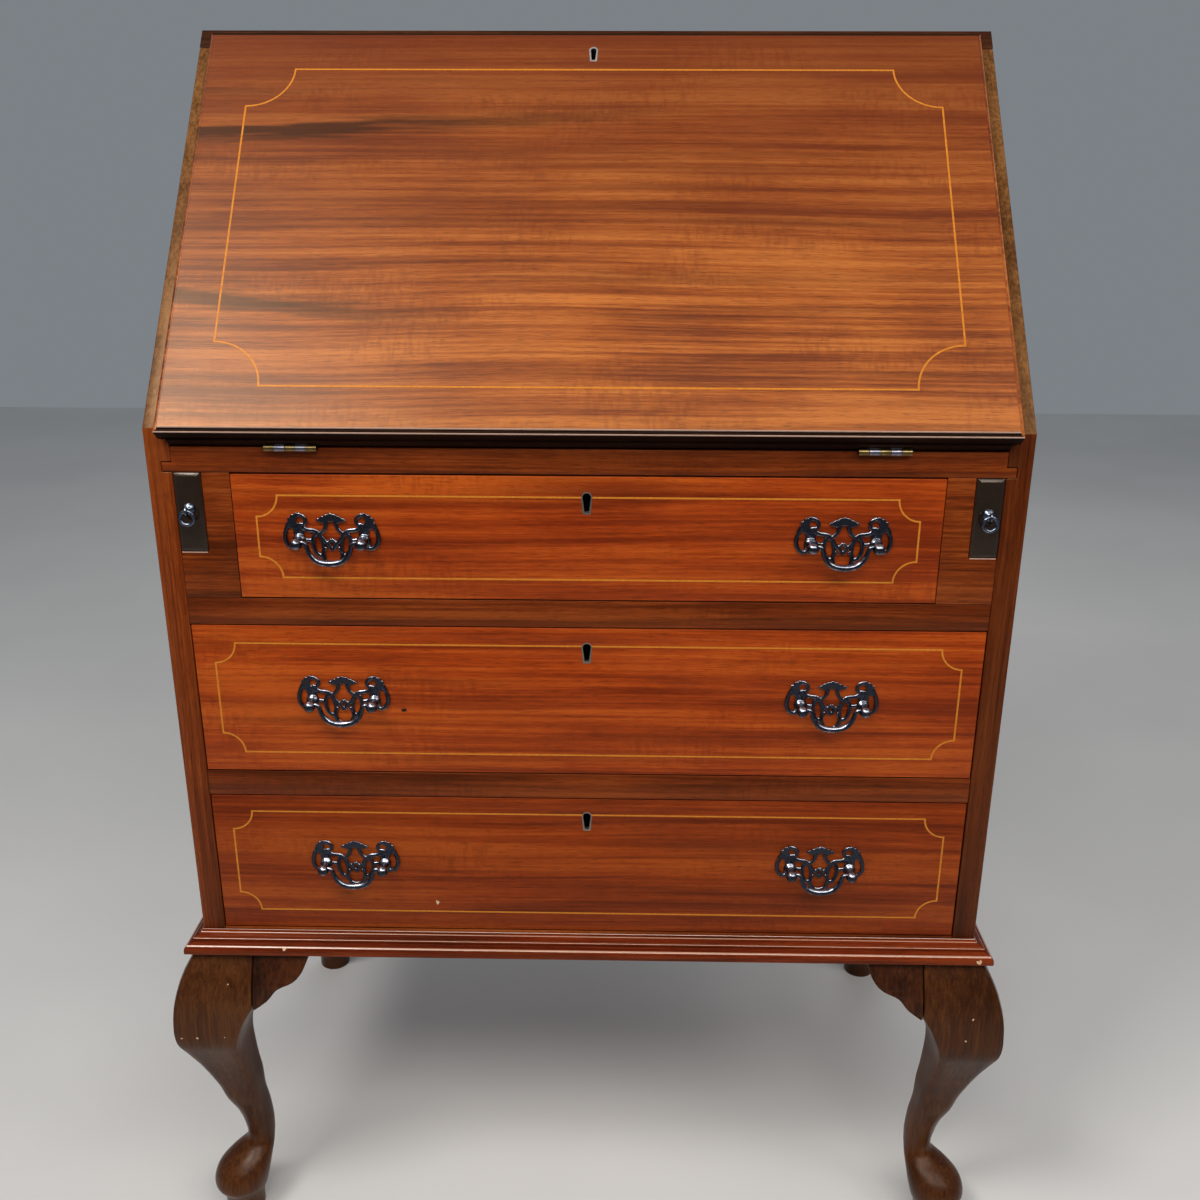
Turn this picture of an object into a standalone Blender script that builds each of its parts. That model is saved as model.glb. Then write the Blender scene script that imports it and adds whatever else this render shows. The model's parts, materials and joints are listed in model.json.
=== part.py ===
"""A slant-front writing desk (bureau) on cabriole legs, as separate pieces that move on real joints.

Units are metres. +X is on the user's right, -Y is the front, +Z is up.
The origin is on the floor, midway between the four feet.
"""

import math

import bmesh
import bpy
from mathutils import Vector

# Driving dimensions
WIDTH = 0.670
DEPTH = 0.390
HEIGHT = 1.0505
KNEE_Z = 0.7537  # where the upright front edge of each side turns into the slope
SLOPE_RUN = 0.2331  # how far back the slope goes between the knee and the top
CLEAR = 0.0003  # gap between pieces that touch
SIDE_T = 0.019
TOP_T = 0.0145
BOARD_T = 0.0196  # writing board
BOARD_TOP = 0.7400
CASE_BOTTOM = 0.2955
BOTTOM_BOARD_TOP = 0.3150
BACK_T = 0.0085
RAIL_T = 0.022
RAIL_DEPTH = 0.060
DUST_BOARD_T = 0.012
TONGUE = 0.0076  # how far the writing board's tongue enters each side
DRAWER_FRONT_T = 0.019
DRAWER_GAP = 0.001
DRAWER_BACK = 0.135  # y of the back of each drawer box
DRAWER_SIDE_T = 0.009
DRAWER_TRAVEL = 0.27

# Fall front, measured from the slope plane of the sides: s runs up the slope from the knee, o outwards
FALL_OUTER = 0.0130
FALL_INNER = -0.0062
FALL_TOP = 0.3580
FALL_BOTTOM = -0.0100
LIP_BOTTOM = -0.0104
LIP_TOP = 0.3637
LIP_HALF = 0.3218
FACE_HALF = 0.3185
PIVOT_FORWARD = 0.0030  # fall pivot ahead of the writing board's front edge, level with its top
KNUCKLE_R = 0.0026
PIN_R = 0.0011
KNUCKLE_ROOM = 0.0005
HINGE_X = 0.223
HINGE_LENGTH = 0.040
KNUCKLES = 5
LEAF_T = 0.0015
LEAF_WIDTH = 0.018
LEATHER_HALF = 0.262
LEATHER_S = (0.034, 0.300)
LEATHER_RECESS = 0.0015
LEATHER_T = 0.0012

# Drawers: half width, bottom, top
DRAWERS = {
    "drawer_1": (0.2720, 0.6200, 0.7190),
    "drawer_2": (0.3150, 0.4680, 0.5960),
    "drawer_3": (0.3150, 0.3162, 0.4440),
}
HANDLE_Z = {"drawer_1": 0.6690, "drawer_2": 0.5335, "drawer_3": 0.3825}
HANDLE_X = 0.197
POST_X = 0.025  # each handle post from the handle's centre
POST_OUT = 0.0130  # ball centre ahead of the drawer front
BALL_R = 0.0040
PLATE_T = 0.0016
RAIL_Z = {"rail_upper": 0.6190, "rail_lower": 0.4670}  # upper faces

# Lopers, the sliding supports for the open fall
LOPER_X = (0.2945, 0.3155)
LOPER_Z = (0.6576, 0.7200)
LOPER_LENGTH = 0.300
LOPER_PROUD = 0.002
HOUSING_X = 0.2725
PULL_X = 0.305
PULL_Z = 0.692
RING_R = 0.0052
RING_WIRE_R = 0.0008
EYE_OUT = 0.0075

# Locks
LOCK_HALF = 0.026
LOCK_HEIGHT = 0.038
LOCK_T = 0.0105
BOLT_HALF = 0.008
BOLT_T = 0.0034
BOLT_LENGTH = 0.020
MORTISE_GAP = 0.0005  # room round a thrown bolt
MORTISE_DEPTH = 0.0065
DRAWER_BOLT_IN = 0.0060  # middle of a bolt, from the lock's inner face
FALL_BOLT_IN = 0.0028

# Pigeonholes
PIGEON_FRONT = 0.036
PIGEON_TOP = 1.0305
PIGEON_HALF = 0.3155
PIGEON_WALL = 0.007
SMALL_DRAWER_X = (0.1230, 0.3080)
SMALL_DRAWER_Z = (0.7478, 0.8050)
SMALL_DRAWER_LENGTH = 0.138
SMALL_DRAWER_WALL = 0.005

# Base moulding and legs
MOULDING_TOP = 0.3131
MOULDING_OUT = 0.0144
LEG_SUM = 0.335  # x + distance behind the case front, on the leg's diagonal
EAR_T = 0.024

FRONT = -DEPTH / 2
BACK = DEPTH / 2
INNER = WIDTH / 2 - SIDE_T
PANEL_FRONT = BACK - BACK_T
SLOPE = Vector((0.0, SLOPE_RUN, HEIGHT - KNEE_Z)).normalized()
OUTWARD = Vector((0.0, -SLOPE.z, SLOPE.y))
KNEE = Vector((0.0, FRONT, KNEE_Z))
PIVOT = Vector((0.0, FRONT - PIVOT_FORWARD, BOARD_TOP))


# ---------------------------------------------------------------- helpers
def clear_scene():
    for obj in list(bpy.data.objects):
        bpy.data.objects.remove(obj)


def material(name, color, roughness, metallic=0.0):
    found = bpy.data.materials.new(name)
    found.use_nodes = True
    shader = found.node_tree.nodes["Principled BSDF"]
    shader.inputs["Base Color"].default_value = (*color, 1.0)
    shader.inputs["Roughness"].default_value = roughness
    shader.inputs["Metallic"].default_value = metallic
    return found


WOODS = {
    "mahogany": ((0.28, 0.07, 0.025), 0.28),
    "dark_mahogany": ((0.13, 0.035, 0.015), 0.30),
    "drawer_lining": ((0.45, 0.30, 0.16), 0.6),
    "ebonised": ((0.015, 0.012, 0.012), 0.3),
    "leather": ((0.05, 0.12, 0.06), 0.5),
}
METALS = {
    "brass": ((0.62, 0.42, 0.16), 0.3),
    "dark_brass": ((0.16, 0.13, 0.10), 0.3),
    "steel": ((0.40, 0.40, 0.42), 0.35),
}


def finish_for(name, kind):
    """Each piece has a material of its own, in the colour of its kind."""
    if kind in METALS:
        color, roughness = METALS[kind]
        return material(f"{name}_{kind}", color, roughness, 1.0)
    color, roughness = WOODS[kind]
    return material(f"{name}_{kind}", color, roughness)


def add_object(name, bm, kind=None, origin=(0.0, 0.0, 0.0)):
    """Turns a bmesh given in world coordinates into an object whose origin is at the given point."""
    bmesh.ops.recalc_face_normals(bm, faces=bm.faces)
    bmesh.ops.translate(bm, verts=bm.verts, vec=-Vector(origin))
    mesh = bpy.data.meshes.new(name)
    bm.to_mesh(mesh)
    bm.free()
    obj = bpy.data.objects.new(name, mesh)
    obj.location = origin
    bpy.context.scene.collection.objects.link(obj)
    if kind is None:
        obj.hide_render = True
        obj.display_type = "WIRE"
    else:
        mesh.materials.append(finish_for(name, kind))
    return obj


def smooth(obj, degrees=40.0):
    obj.data.shade_smooth()
    obj.data.set_sharp_from_angle(angle=math.radians(degrees))
    return obj


def loft(rings, capped=True):
    """A skin over rings of equally many points."""
    bm = bmesh.new()
    rows = [[bm.verts.new(point) for point in ring] for ring in rings]
    count = len(rows[0])
    for lower, upper in zip(rows, rows[1:]):
        for i in range(count):
            j = (i + 1) % count
            bm.faces.new((lower[i], lower[j], upper[j], upper[i]))
    if capped:
        bm.faces.new(rows[0])
        bm.faces.new(rows[-1])
    return bm


def place(axis, along, a, b):
    """A point from its two coordinates across an axis and its place along that axis."""
    return {"X": (along, a, b), "Y": (a, along, b), "Z": (a, b, along)}[axis]


def prism(outline, axis, low, high):
    return loft([[place(axis, along, a, b) for a, b in outline] for along in (low, high)])


def box(x, y, z):
    return prism([(y[0], z[0]), (y[1], z[0]), (y[1], z[1]), (y[0], z[1])], "X", x[0], x[1])


def slope_point(x, s, o):
    return KNEE + Vector((x, 0.0, 0.0)) + SLOPE * s + OUTWARD * o


def slope_box(x, s, o):
    corners = [(x[0], s[0]), (x[1], s[0]), (x[1], s[1]), (x[0], s[1])]
    return loft([[slope_point(a, b, height) for a, b in corners] for height in o])


def cylinder(axis, centre, radius, low, high, sides=16):
    outline = [
        (centre[0] + radius * math.cos(turn), centre[1] + radius * math.sin(turn))
        for turn in (2 * math.pi * i / sides for i in range(sides))
    ]
    return prism(outline, axis, low, high)


def turned(profile, axis_point, direction, sides=16):
    """A turned piece: profile is (distance along, radius), from a point along a direction in -Y or +X."""
    axis = Vector(direction)
    across = Vector((0.0, 0.0, 1.0))
    side = axis.cross(across)
    rings = []
    for along, radius in profile:
        centre = Vector(axis_point) + axis * along
        rings.append(
            [
                centre + (across * math.cos(turn) + side * math.sin(turn)) * radius
                for turn in (2 * math.pi * i / sides for i in range(sides))
            ]
        )
    return loft(rings)


def boolean(obj, other, operation):
    modifier = obj.modifiers.new(operation.lower(), "BOOLEAN")
    modifier.operation = operation
    modifier.object = other
    return obj


def cut(obj, name, bm):
    return boolean(obj, add_object(name, bm), "DIFFERENCE")


def join(obj, name, bm):
    return boolean(obj, add_object(name, bm), "UNION")


def bake(obj):
    """The object's mesh with its modifiers applied, for copies to share."""
    graph = bpy.context.evaluated_depsgraph_get()
    graph.update()
    mesh = bpy.data.meshes.new_from_object(obj.evaluated_get(graph))
    obj.modifiers.clear()
    obj.data = mesh
    return mesh


# ---------------------------------------------------------------- carcase
def side_panels():
    outline = [
        (FRONT, CASE_BOTTOM),
        (FRONT, KNEE_Z),
        slope_point(0, (HEIGHT - TOP_T - CLEAR - KNEE_Z) / SLOPE.z, 0)[1:],
        (BACK, HEIGHT - TOP_T - CLEAR),
        (BACK, CASE_BOTTOM),
    ]
    for name, sign in (("side_left", -1), ("side_right", 1)):
        low, high = sorted((sign * INNER, sign * WIDTH / 2))
        panel = add_object(name, prism(outline, "X", low, high), "dark_mahogany")
        housing_x = sorted((sign * (INNER - 0.01), sign * (INNER + TONGUE + CLEAR)))
        housing_z = (BOARD_TOP - BOARD_T - CLEAR, BOARD_TOP - BOARD_T + TONGUE + CLEAR)
        cut(panel, f"{name}_housing", box(housing_x, (FRONT - 0.01, PANEL_FRONT + CLEAR), housing_z))


def top_board():
    low = HEIGHT - TOP_T
    outline = [
        slope_point(0, (low - KNEE_Z) / SLOPE.z, 0)[1:],
        slope_point(0, (HEIGHT - KNEE_Z) / SLOPE.z, 0)[1:],
        (BACK, HEIGHT),
        (BACK, low),
    ]
    board = add_object("top_board", prism(outline, "X", -WIDTH / 2, WIDTH / 2), "mahogany")
    half = BOLT_HALF + MORTISE_GAP
    middle = FALL_INNER + FALL_BOLT_IN
    reach = BOLT_T / 2 + MORTISE_GAP
    run = (FALL_TOP - MORTISE_DEPTH, FALL_TOP + 0.0095)
    cut(board, "fall_lock_mortise", slope_box((-half, half), run, (middle - reach, middle + reach)))


def back_panel():
    half = INNER - CLEAR
    panel = box((-half, half), (PANEL_FRONT, BACK), (CASE_BOTTOM, HEIGHT - TOP_T - CLEAR))
    add_object("back_panel", panel, "drawer_lining")


def mortise(board, name, underside):
    """The slot over a drawer lock that its bolt is thrown into."""
    half = BOLT_HALF + MORTISE_GAP
    middle = FRONT + DRAWER_FRONT_T - DRAWER_BOLT_IN
    reach = BOLT_T / 2 + MORTISE_GAP
    span = (underside - 0.002, underside + MORTISE_DEPTH)
    cut(board, name, box((-half, half), (middle - reach, middle + reach), span))


def writing_board():
    low = BOARD_TOP - BOARD_T
    half = INNER - CLEAR
    tongue = INNER + TONGUE - CLEAR
    outline = [
        (-tongue, low),
        (tongue, low),
        (tongue, low + TONGUE - CLEAR),
        (half, low + TONGUE - CLEAR),
        (half, BOARD_TOP),
        (-half, BOARD_TOP),
        (-half, low + TONGUE - CLEAR),
        (-tongue, low + TONGUE - CLEAR),
    ]
    board = add_object("writing_board", prism(outline, "Y", FRONT, PANEL_FRONT - CLEAR), "mahogany")
    for name, sign in (("left", -1), ("right", 1)):
        middle = sign * HINGE_X
        reach = HINGE_LENGTH / 2 + CLEAR
        depth = (FRONT - 0.01, PIVOT.y + LEAF_WIDTH + CLEAR)
        recess = box((middle - reach, middle + reach), depth, (BOARD_TOP - LEAF_T - CLEAR, BOARD_TOP + 0.01))
        cut(board, f"writing_board_recess_{name}", recess)
    mortise(board, "drawer_1_mortise", low)


def rails():
    """Front rails with thinner dust boards behind them, level on top, where the drawers run."""
    half = INNER - CLEAR
    for name, top in RAIL_Z.items():
        outline = [
            (FRONT, top - RAIL_T),
            (FRONT, top),
            (PANEL_FRONT - CLEAR, top),
            (PANEL_FRONT - CLEAR, top - DUST_BOARD_T),
            (FRONT + RAIL_DEPTH, top - DUST_BOARD_T),
            (FRONT + RAIL_DEPTH, top - RAIL_T),
        ]
        rail = add_object(name, prism(outline, "X", -half, half), "dark_mahogany")
        mortise(rail, f"{name}_mortise", top - RAIL_T)


def bottom_board():
    half = INNER - CLEAR
    board = box((-half, half), (FRONT, PANEL_FRONT - CLEAR), (CASE_BOTTOM, BOTTOM_BOARD_TOP))
    add_object("bottom_board", board, "dark_mahogany")


def loper_housings():
    """A partition beside each loper, in one piece with the block that the loper slides on."""
    low = RAIL_Z["rail_upper"] + CLEAR
    high = BOARD_TOP - BOARD_T - CLEAR
    outline = [
        (HOUSING_X, low),
        (INNER - CLEAR, low),
        (INNER - CLEAR, LOPER_Z[0] - CLEAR),
        (LOPER_X[0] - 0.0006, LOPER_Z[0] - CLEAR),
        (LOPER_X[0] - 0.0006, high),
        (HOUSING_X, high),
    ]
    for name, sign in (("loper_housing_left", -1), ("loper_housing_right", 1)):
        points = [(sign * x, z) for x, z in outline]
        add_object(name, prism(points, "Y", FRONT, PANEL_FRONT - CLEAR), "dark_mahogany")


def moulding_profile():
    """(how far it stands out, height), from the back at the bottom, round the front to the top."""
    ovolo = [
        (
            MOULDING_OUT - 0.0049 * (1 - math.cos(turn)),
            CASE_BOTTOM + 0.0036 + 0.0049 * math.sin(turn),
        )
        for turn in (math.radians(angle) for angle in (0, 30, 60, 90))
    ]
    upper = [(0.0078, 0.3040), (0.0078, 0.3064), (0.0062, 0.3070), (0.0062, 0.3088), (0.0027, 0.3105)]
    top = [(0.0010, MOULDING_TOP), (CLEAR, MOULDING_TOP)]
    return [(CLEAR, CASE_BOTTOM), (MOULDING_OUT, CASE_BOTTOM), *ovolo, *upper, *top]


def base_mouldings():
    profile = moulding_profile()
    half = WIDTH / 2
    ends = [
        [(sign * (half + out - CLEAR), FRONT - out, height) for out, height in profile]
        for sign in (-1, 1)
    ]
    add_object("base_moulding_front", loft(ends), "mahogany")
    for name, sign in (("base_moulding_left", -1), ("base_moulding_right", 1)):
        mitre = [(sign * (half + out), FRONT - out + CLEAR, height) for out, height in profile]
        square = [(sign * (half + out), BACK, height) for out, height in profile]
        add_object(name, loft([mitre, square]), "mahogany")


# ---------------------------------------------------------------- legs
# Down the leg: height, outer corner x on the diagonal, width of the section, squareness from 0 (round) to 1
LEG_STATIONS = [
    (0.2320, 0.3632, 0.0635, 1.00),
    (0.2200, 0.3634, 0.0592, 1.00),
    (0.2080, 0.3616, 0.0540, 1.00),
    (0.1950, 0.3575, 0.0487, 0.95),
    (0.1780, 0.3527, 0.0445, 0.85),
    (0.1600, 0.3470, 0.0400, 0.70),
    (0.1440, 0.3414, 0.0365, 0.50),
    (0.1260, 0.3360, 0.0328, 0.30),
    (0.1080, 0.3305, 0.0300, 0.15),
    (0.0900, 0.3268, 0.0276, 0.00),
    (0.0760, 0.3248, 0.0252, 0.00),
    (0.0680, 0.3262, 0.0260, 0.00),
    (0.0620, 0.3328, 0.0325, 0.00),
    (0.0560, 0.3412, 0.0404, 0.00),
    (0.0480, 0.3498, 0.0480, 0.00),
    (0.0400, 0.3536, 0.0505, 0.00),
    (0.0320, 0.3540, 0.0490, 0.00),
    (0.0260, 0.3512, 0.0445, 0.00),
    (0.0210, 0.3475, 0.0385, 0.00),
    (0.0120, 0.3462, 0.0354, 0.00),
    (0.0000, 0.3460, 0.0350, 0.00),
]
# The knee block with its two ears: height, outer corner x, how far the ears reach in
EAR_STATIONS = [
    (CASE_BOTTOM - CLEAR, 0.3433, 0.2430),
    (0.2890, 0.3463, 0.2440),
    (0.2800, 0.3513, 0.2475),
    (0.2720, 0.3548, 0.2550),
    (0.2655, 0.3571, 0.2690),
    (0.2560, 0.3598, 0.2775),
    (0.2480, 0.3616, 0.2885),
    (0.2400, 0.3627, 0.2960),
]


def leg_section(outer, width, squareness):
    """Sixteen points about the leg's diagonal, starting at the outer corner."""
    radius = width / 2
    middle = (outer - radius, LEG_SUM - outer + radius)
    points = []
    for i in range(16):
        turn = math.radians(-45 + 22.5 * i)
        flat = 1 / max(abs(math.cos(turn)), abs(math.sin(turn)))
        reach = radius * (1 + squareness * (min(flat, 1.36) - 1))
        points.append((middle[0] + reach * math.cos(turn), middle[1] + reach * math.sin(turn)))
    return points


def ear_section(outer, reach):
    """The same sixteen points, drawn out into an ear along the front and an ear along the side."""
    front = LEG_SUM - outer
    reach_y = LEG_SUM - reach
    inner = outer - EAR_T
    back = front + EAR_T
    corner = 0.0012
    return [
        (outer - corner, front + corner),
        (outer, front + 0.012),
        (outer, front + 0.3 * (reach_y - front)),
        (outer, front + 0.7 * (reach_y - front)),
        (outer, reach_y),
        ((outer + inner) / 2, reach_y),
        (inner, reach_y),
        (inner, (reach_y + back) / 2),
        (inner, back),
        ((reach + inner) / 2, back),
        (reach, back),
        (reach, (front + back) / 2),
        (reach, front),
        (outer - 0.7 * (outer - reach), front),
        (outer - 0.3 * (outer - reach), front),
        (outer - 0.012, front),
    ]


def legs():
    sections = [(z, ear_section(outer, reach)) for z, outer, reach in EAR_STATIONS]
    sections += [(z, leg_section(outer, width, square)) for z, outer, width, square in LEG_STATIONS]
    for name, sign_x, sign_y in (
        ("leg_front_left", -1, 1),
        ("leg_front_right", 1, 1),
        ("leg_rear_left", -1, -1),
        ("leg_rear_right", 1, -1),
    ):
        rings = [
            [(sign_x * x, sign_y * (FRONT + behind), z) for x, behind in section]
            for z, section in sections
        ]
        smooth(add_object(name, loft(rings), "dark_mahogany"), 50)


# ---------------------------------------------------------------- fall front
def fall_front():
    """A rebated slab with a moulded lip that laps over the sides, turning on the hinges' axis."""
    inner_half = INNER - CLEAR
    rings = [
        (FALL_INNER, inner_half, FALL_BOTTOM, FALL_TOP),
        (CLEAR, inner_half, FALL_BOTTOM, FALL_TOP),
        (CLEAR, LIP_HALF, LIP_BOTTOM, LIP_TOP),
        (0.0096, LIP_HALF, LIP_BOTTOM, LIP_TOP),
        (0.0112, LIP_HALF - 0.0007, LIP_BOTTOM + 0.0017, LIP_TOP - 0.0008),
        (0.0121, LIP_HALF - 0.0021, LIP_BOTTOM + 0.0038, LIP_TOP - 0.0022),
        (0.0122, FACE_HALF, LIP_BOTTOM + 0.0059, LIP_TOP - 0.0037),
        (FALL_OUTER, FACE_HALF, LIP_BOTTOM + 0.0059, LIP_TOP - 0.0037),
    ]
    skin = loft(
        [
            [
                slope_point(-half, low, o),
                slope_point(half, low, o),
                slope_point(half, high, o),
                slope_point(-half, high, o),
            ]
            for o, half, low, high in rings
        ]
    )
    fall = add_object("fall_front", skin, "mahogany", PIVOT)
    recess = (-0.02, FALL_INNER + LEATHER_RECESS)
    cut(fall, "leather_recess", slope_box((-LEATHER_HALF, LEATHER_HALF), LEATHER_S, recess))
    for name, sign in (("left", -1), ("right", 1)):
        middle = sign * HINGE_X
        reach = HINGE_LENGTH / 2 + CLEAR
        span = (middle - reach, middle + reach)
        leaf_s = (PIVOT - KNEE).dot(SLOPE) + LEAF_WIDTH + CLEAR
        depth = (PIVOT - KNEE).dot(OUTWARD) + LEAF_T + CLEAR
        cut(fall, f"fall_recess_{name}", slope_box(span, (-0.02, leaf_s), (-0.02, depth)))
        cut(fall, f"fall_knuckle_room_{name}", cylinder("X", PIVOT[1:], KNUCKLE_R + KNUCKLE_ROOM, *span))
    half = LOCK_HALF + CLEAR
    low = FALL_TOP - LOCK_HEIGHT - CLEAR
    recess = (-0.02, FALL_INNER + LOCK_T + CLEAR)
    cut(fall, "fall_lock_recess", slope_box((-half, half), (low, FALL_TOP + CLEAR), recess))


def fall_leather():
    half = LEATHER_HALF - CLEAR
    run = (LEATHER_S[0] + CLEAR, LEATHER_S[1] - CLEAR)
    leather = slope_box((-half, half), run, (FALL_INNER, FALL_INNER + LEATHER_T))
    add_object("fall_leather", leather, "leather", PIVOT)


def hinge_leaf(name, middle, direction, sunk, own, pinned):
    """A leaf with its knuckles, from the pivot along a direction; the pinned leaf carries the pin too."""
    step = HINGE_LENGTH / KNUCKLES
    start = middle - HINGE_LENGTH / 2

    def slab(x, reach):
        corners = [
            PIVOT + direction * a + sunk * b
            for a, b in ((reach[0], 0), (reach[1], 0), (reach[1], LEAF_T), (reach[0], LEAF_T))
        ]
        return loft([[Vector((along, *corner[1:])) for corner in corners] for along in x])

    leaf = add_object(name, slab((start, start + HINGE_LENGTH), (0.0034, LEAF_WIDTH)), "brass", PIVOT)
    for i in own:
        span = (start + i * step + CLEAR / 2, start + (i + 1) * step - CLEAR / 2)
        join(leaf, f"{name}_tab_{i}", slab(span, (0.0003, 0.0050)))
        join(leaf, f"{name}_knuckle_{i}", cylinder("X", PIVOT[1:], KNUCKLE_R, *span, sides=12))
    if pinned:
        ends = (start + CLEAR, start + HINGE_LENGTH - CLEAR)
        join(leaf, f"{name}_pin", cylinder("X", PIVOT[1:], PIN_R, *ends, sides=8))
    else:
        bore = (start - 0.01, start + HINGE_LENGTH + 0.01)
        cut(leaf, f"{name}_bore", cylinder("X", PIVOT[1:], PIN_R + CLEAR, *bore, sides=8))


def hinges():
    back = Vector((0, 1, 0))
    down = Vector((0, 0, -1))
    for side, sign in (("left", -1), ("right", 1)):
        hinge_leaf(f"case_hinge_leaf_{side}", sign * HINGE_X, back, down, (0, 2, 4), True)
        hinge_leaf(f"fall_hinge_leaf_{side}", sign * HINGE_X, SLOPE, OUTWARD, (1, 3), False)


# ---------------------------------------------------------------- lopers
def lopers():
    for side, sign in (("left", -1), ("right", 1)):
        front = FRONT - LOPER_PROUD
        bevel = 0.0016
        x_low, x_high = sorted((sign * LOPER_X[0], sign * LOPER_X[1]))
        rings = []
        for y, inset in ((front, bevel), (front + bevel, 0), (front + LOPER_LENGTH, 0)):
            low = (x_low + inset, LOPER_Z[0] + inset)
            high = (x_high - inset, LOPER_Z[1] - inset)
            rings.append(
                [(low[0], y, low[1]), (high[0], y, low[1]), (high[0], y, high[1]), (low[0], y, high[1])]
            )
        add_object(f"loper_{side}", loft(rings), "ebonised", (sign * PULL_X, front, PULL_Z))
        loper_pull(side, sign * PULL_X, front)


def loper_pull(side, x, front):
    """A turned stem that ends in an eye, and the ring that hangs in it."""
    base = (x, front - CLEAR, PULL_Z)
    profile = [(0, 0.0038), (0.0006, 0.0038), (0.0014, 0.0028), (0.0018, 0.0014), (0.0054, 0.0012)]
    stem = add_object(f"loper_pull_{side}", turned(profile, base, (0, -1, 0), 12), "dark_brass", base)
    eye = (front - EYE_OUT, PULL_Z)
    join(stem, f"loper_pull_{side}_eye", cylinder("X", eye, 0.0029, x - 0.0008, x + 0.0008, sides=12))
    cut(stem, f"loper_pull_{side}_hole", cylinder("X", eye, 0.0014, x - 0.01, x + 0.01, sides=10))
    centre = Vector((x, eye[0], PULL_Z - RING_R))
    rings = []
    for i in range(20):
        turn = 2 * math.pi * i / 20
        spoke = Vector((math.sin(turn), 0, math.cos(turn)))
        rings.append(
            [
                centre + spoke * (RING_R + RING_WIRE_R * math.cos(a)) + Vector((0, RING_WIRE_R * math.sin(a), 0))
                for a in (2 * math.pi * k / 6 for k in range(6))
            ]
        )
    rings.append(rings[0])
    bm = loft(rings, capped=False)
    bmesh.ops.remove_doubles(bm, verts=bm.verts, dist=1e-6)
    smooth(add_object(f"loper_ring_{side}", bm, "dark_brass", (x, eye[0], PULL_Z)))


# ---------------------------------------------------------------- drawers
def drawers():
    for name, (half, low, high) in DRAWERS.items():
        front_y = (FRONT, FRONT + DRAWER_FRONT_T)
        origin = (0.0, FRONT, (low + high) / 2)
        panel = add_object(f"{name}_front", box((-half, half), front_y, (low, high)), "mahogany", origin)
        lock_half = LOCK_HALF + CLEAR
        recess_y = (front_y[1] - LOCK_T - CLEAR, front_y[1] + 0.01)
        recess_z = (high - LOCK_HEIGHT - CLEAR, high + 0.01)
        cut(panel, f"{name}_lock_recess", box((-lock_half, lock_half), recess_y, recess_z))

        box_half = half - 0.0012
        floor = low + 0.0012
        rim = high - 0.012
        body = box((-box_half, box_half), (front_y[1] + CLEAR, DRAWER_BACK), (floor, rim))
        tray = add_object(f"{name}_box", body, "drawer_lining", origin)
        inner = box_half - DRAWER_SIDE_T
        room_y = (front_y[1] - 0.01, DRAWER_BACK - DRAWER_SIDE_T)
        cut(tray, f"{name}_room", box((-inner, inner), room_y, (floor + 0.008, rim + 0.02)))


# ---------------------------------------------------------------- handles
# Right half of the pierced back plate's outline, in millimetres from the handle's centre
PLATE_OUTLINE = [
    (0, 19), (6, 16.5), (11.6, 13.5), (7.2, 11), (5.2, 8.5), (9, 5), (13, 6.6), (18, 7.4), (21.5, 9),
    (18.6, 12), (19.2, 15.5), (22.5, 18), (27, 19.2), (31.5, 17), (34, 12), (34.2, 6), (36.2, 1),
    (36, -5), (32.5, -9), (27, -9.4), (21, -6), (17, -4), (15.4, -9), (12.4, -12.6), (8, -13.2),
    (6.6, -17.5), (3.4, -20.4), (0, -21),
]  # fmt: skip
# Piercings: centre x, centre z, half width, half height
PLATE_HOLES = [(10.6, -5.0, 2.7, 5.0), (30.5, -0.5, 2.3, 4.6), (0.0, 7.0, 3.0, 4.6), (0.0, -14.6, 3.6, 3.2)]
# One arm of the bail, from its pin to the middle: x, z, radius, in millimetres
BAIL_ARM = [
    (23.2, 0, 0.9), (20.4, 0, 0.95), (18.4, -0.9, 1.4), (16.8, -3.4, 1.5), (16.0, -7, 1.6),
    (14.9, -10.6, 1.75), (12.4, -13.9, 1.95), (8.8, -16.3, 2.1), (4.6, -17.6, 2.2),
]  # fmt: skip


def plate_mesh():
    """The back plate with its two posts, at the world origin, facing -Y."""
    right = [(x / 1000, z / 1000) for x, z in PLATE_OUTLINE]
    left = [(-x, z) for x, z in reversed(right[1:-1])]
    plate = add_object("plate_pattern", prism(right + left, "Y", -CLEAR - PLATE_T, -CLEAR), "dark_brass")
    for number, (x, z, half_width, half_height) in enumerate(PLATE_HOLES):
        for sign in (-1, 1) if x else (1,):
            ring = [
                ((sign * x + half_width * math.cos(a)) / 1000, (z + half_height * math.sin(a)) / 1000)
                for a in (2 * math.pi * i / 10 for i in range(10))
            ]
            cut(plate, f"plate_piercing_{number}_{sign}", prism(ring, "Y", -0.01, 0.01))
    for sign in (-1, 1):
        profile = [(CLEAR + 0.0004, 0.0042), (0.0030, 0.0040), (0.0044, 0.0022), (0.0080, 0.0020)]
        for degrees in range(-60, 90, 30):
            turn = math.radians(degrees)
            profile.append((POST_OUT + BALL_R * math.sin(turn), BALL_R * math.cos(turn)))
        profile.append((POST_OUT + BALL_R, 0.0006))
        post = turned(profile, (sign * POST_X, 0, 0), (0, -1, 0), 12)
        join(plate, f"plate_post_{sign}", post)
        span = sorted((sign * 0.0228, sign * 0.0100))
        cut(plate, f"plate_pin_hole_{sign}", cylinder("X", (-POST_OUT, 0), 0.0013, *span, sides=8))
    mesh = bake(plate)
    bpy.data.objects.remove(plate)
    return mesh


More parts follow.
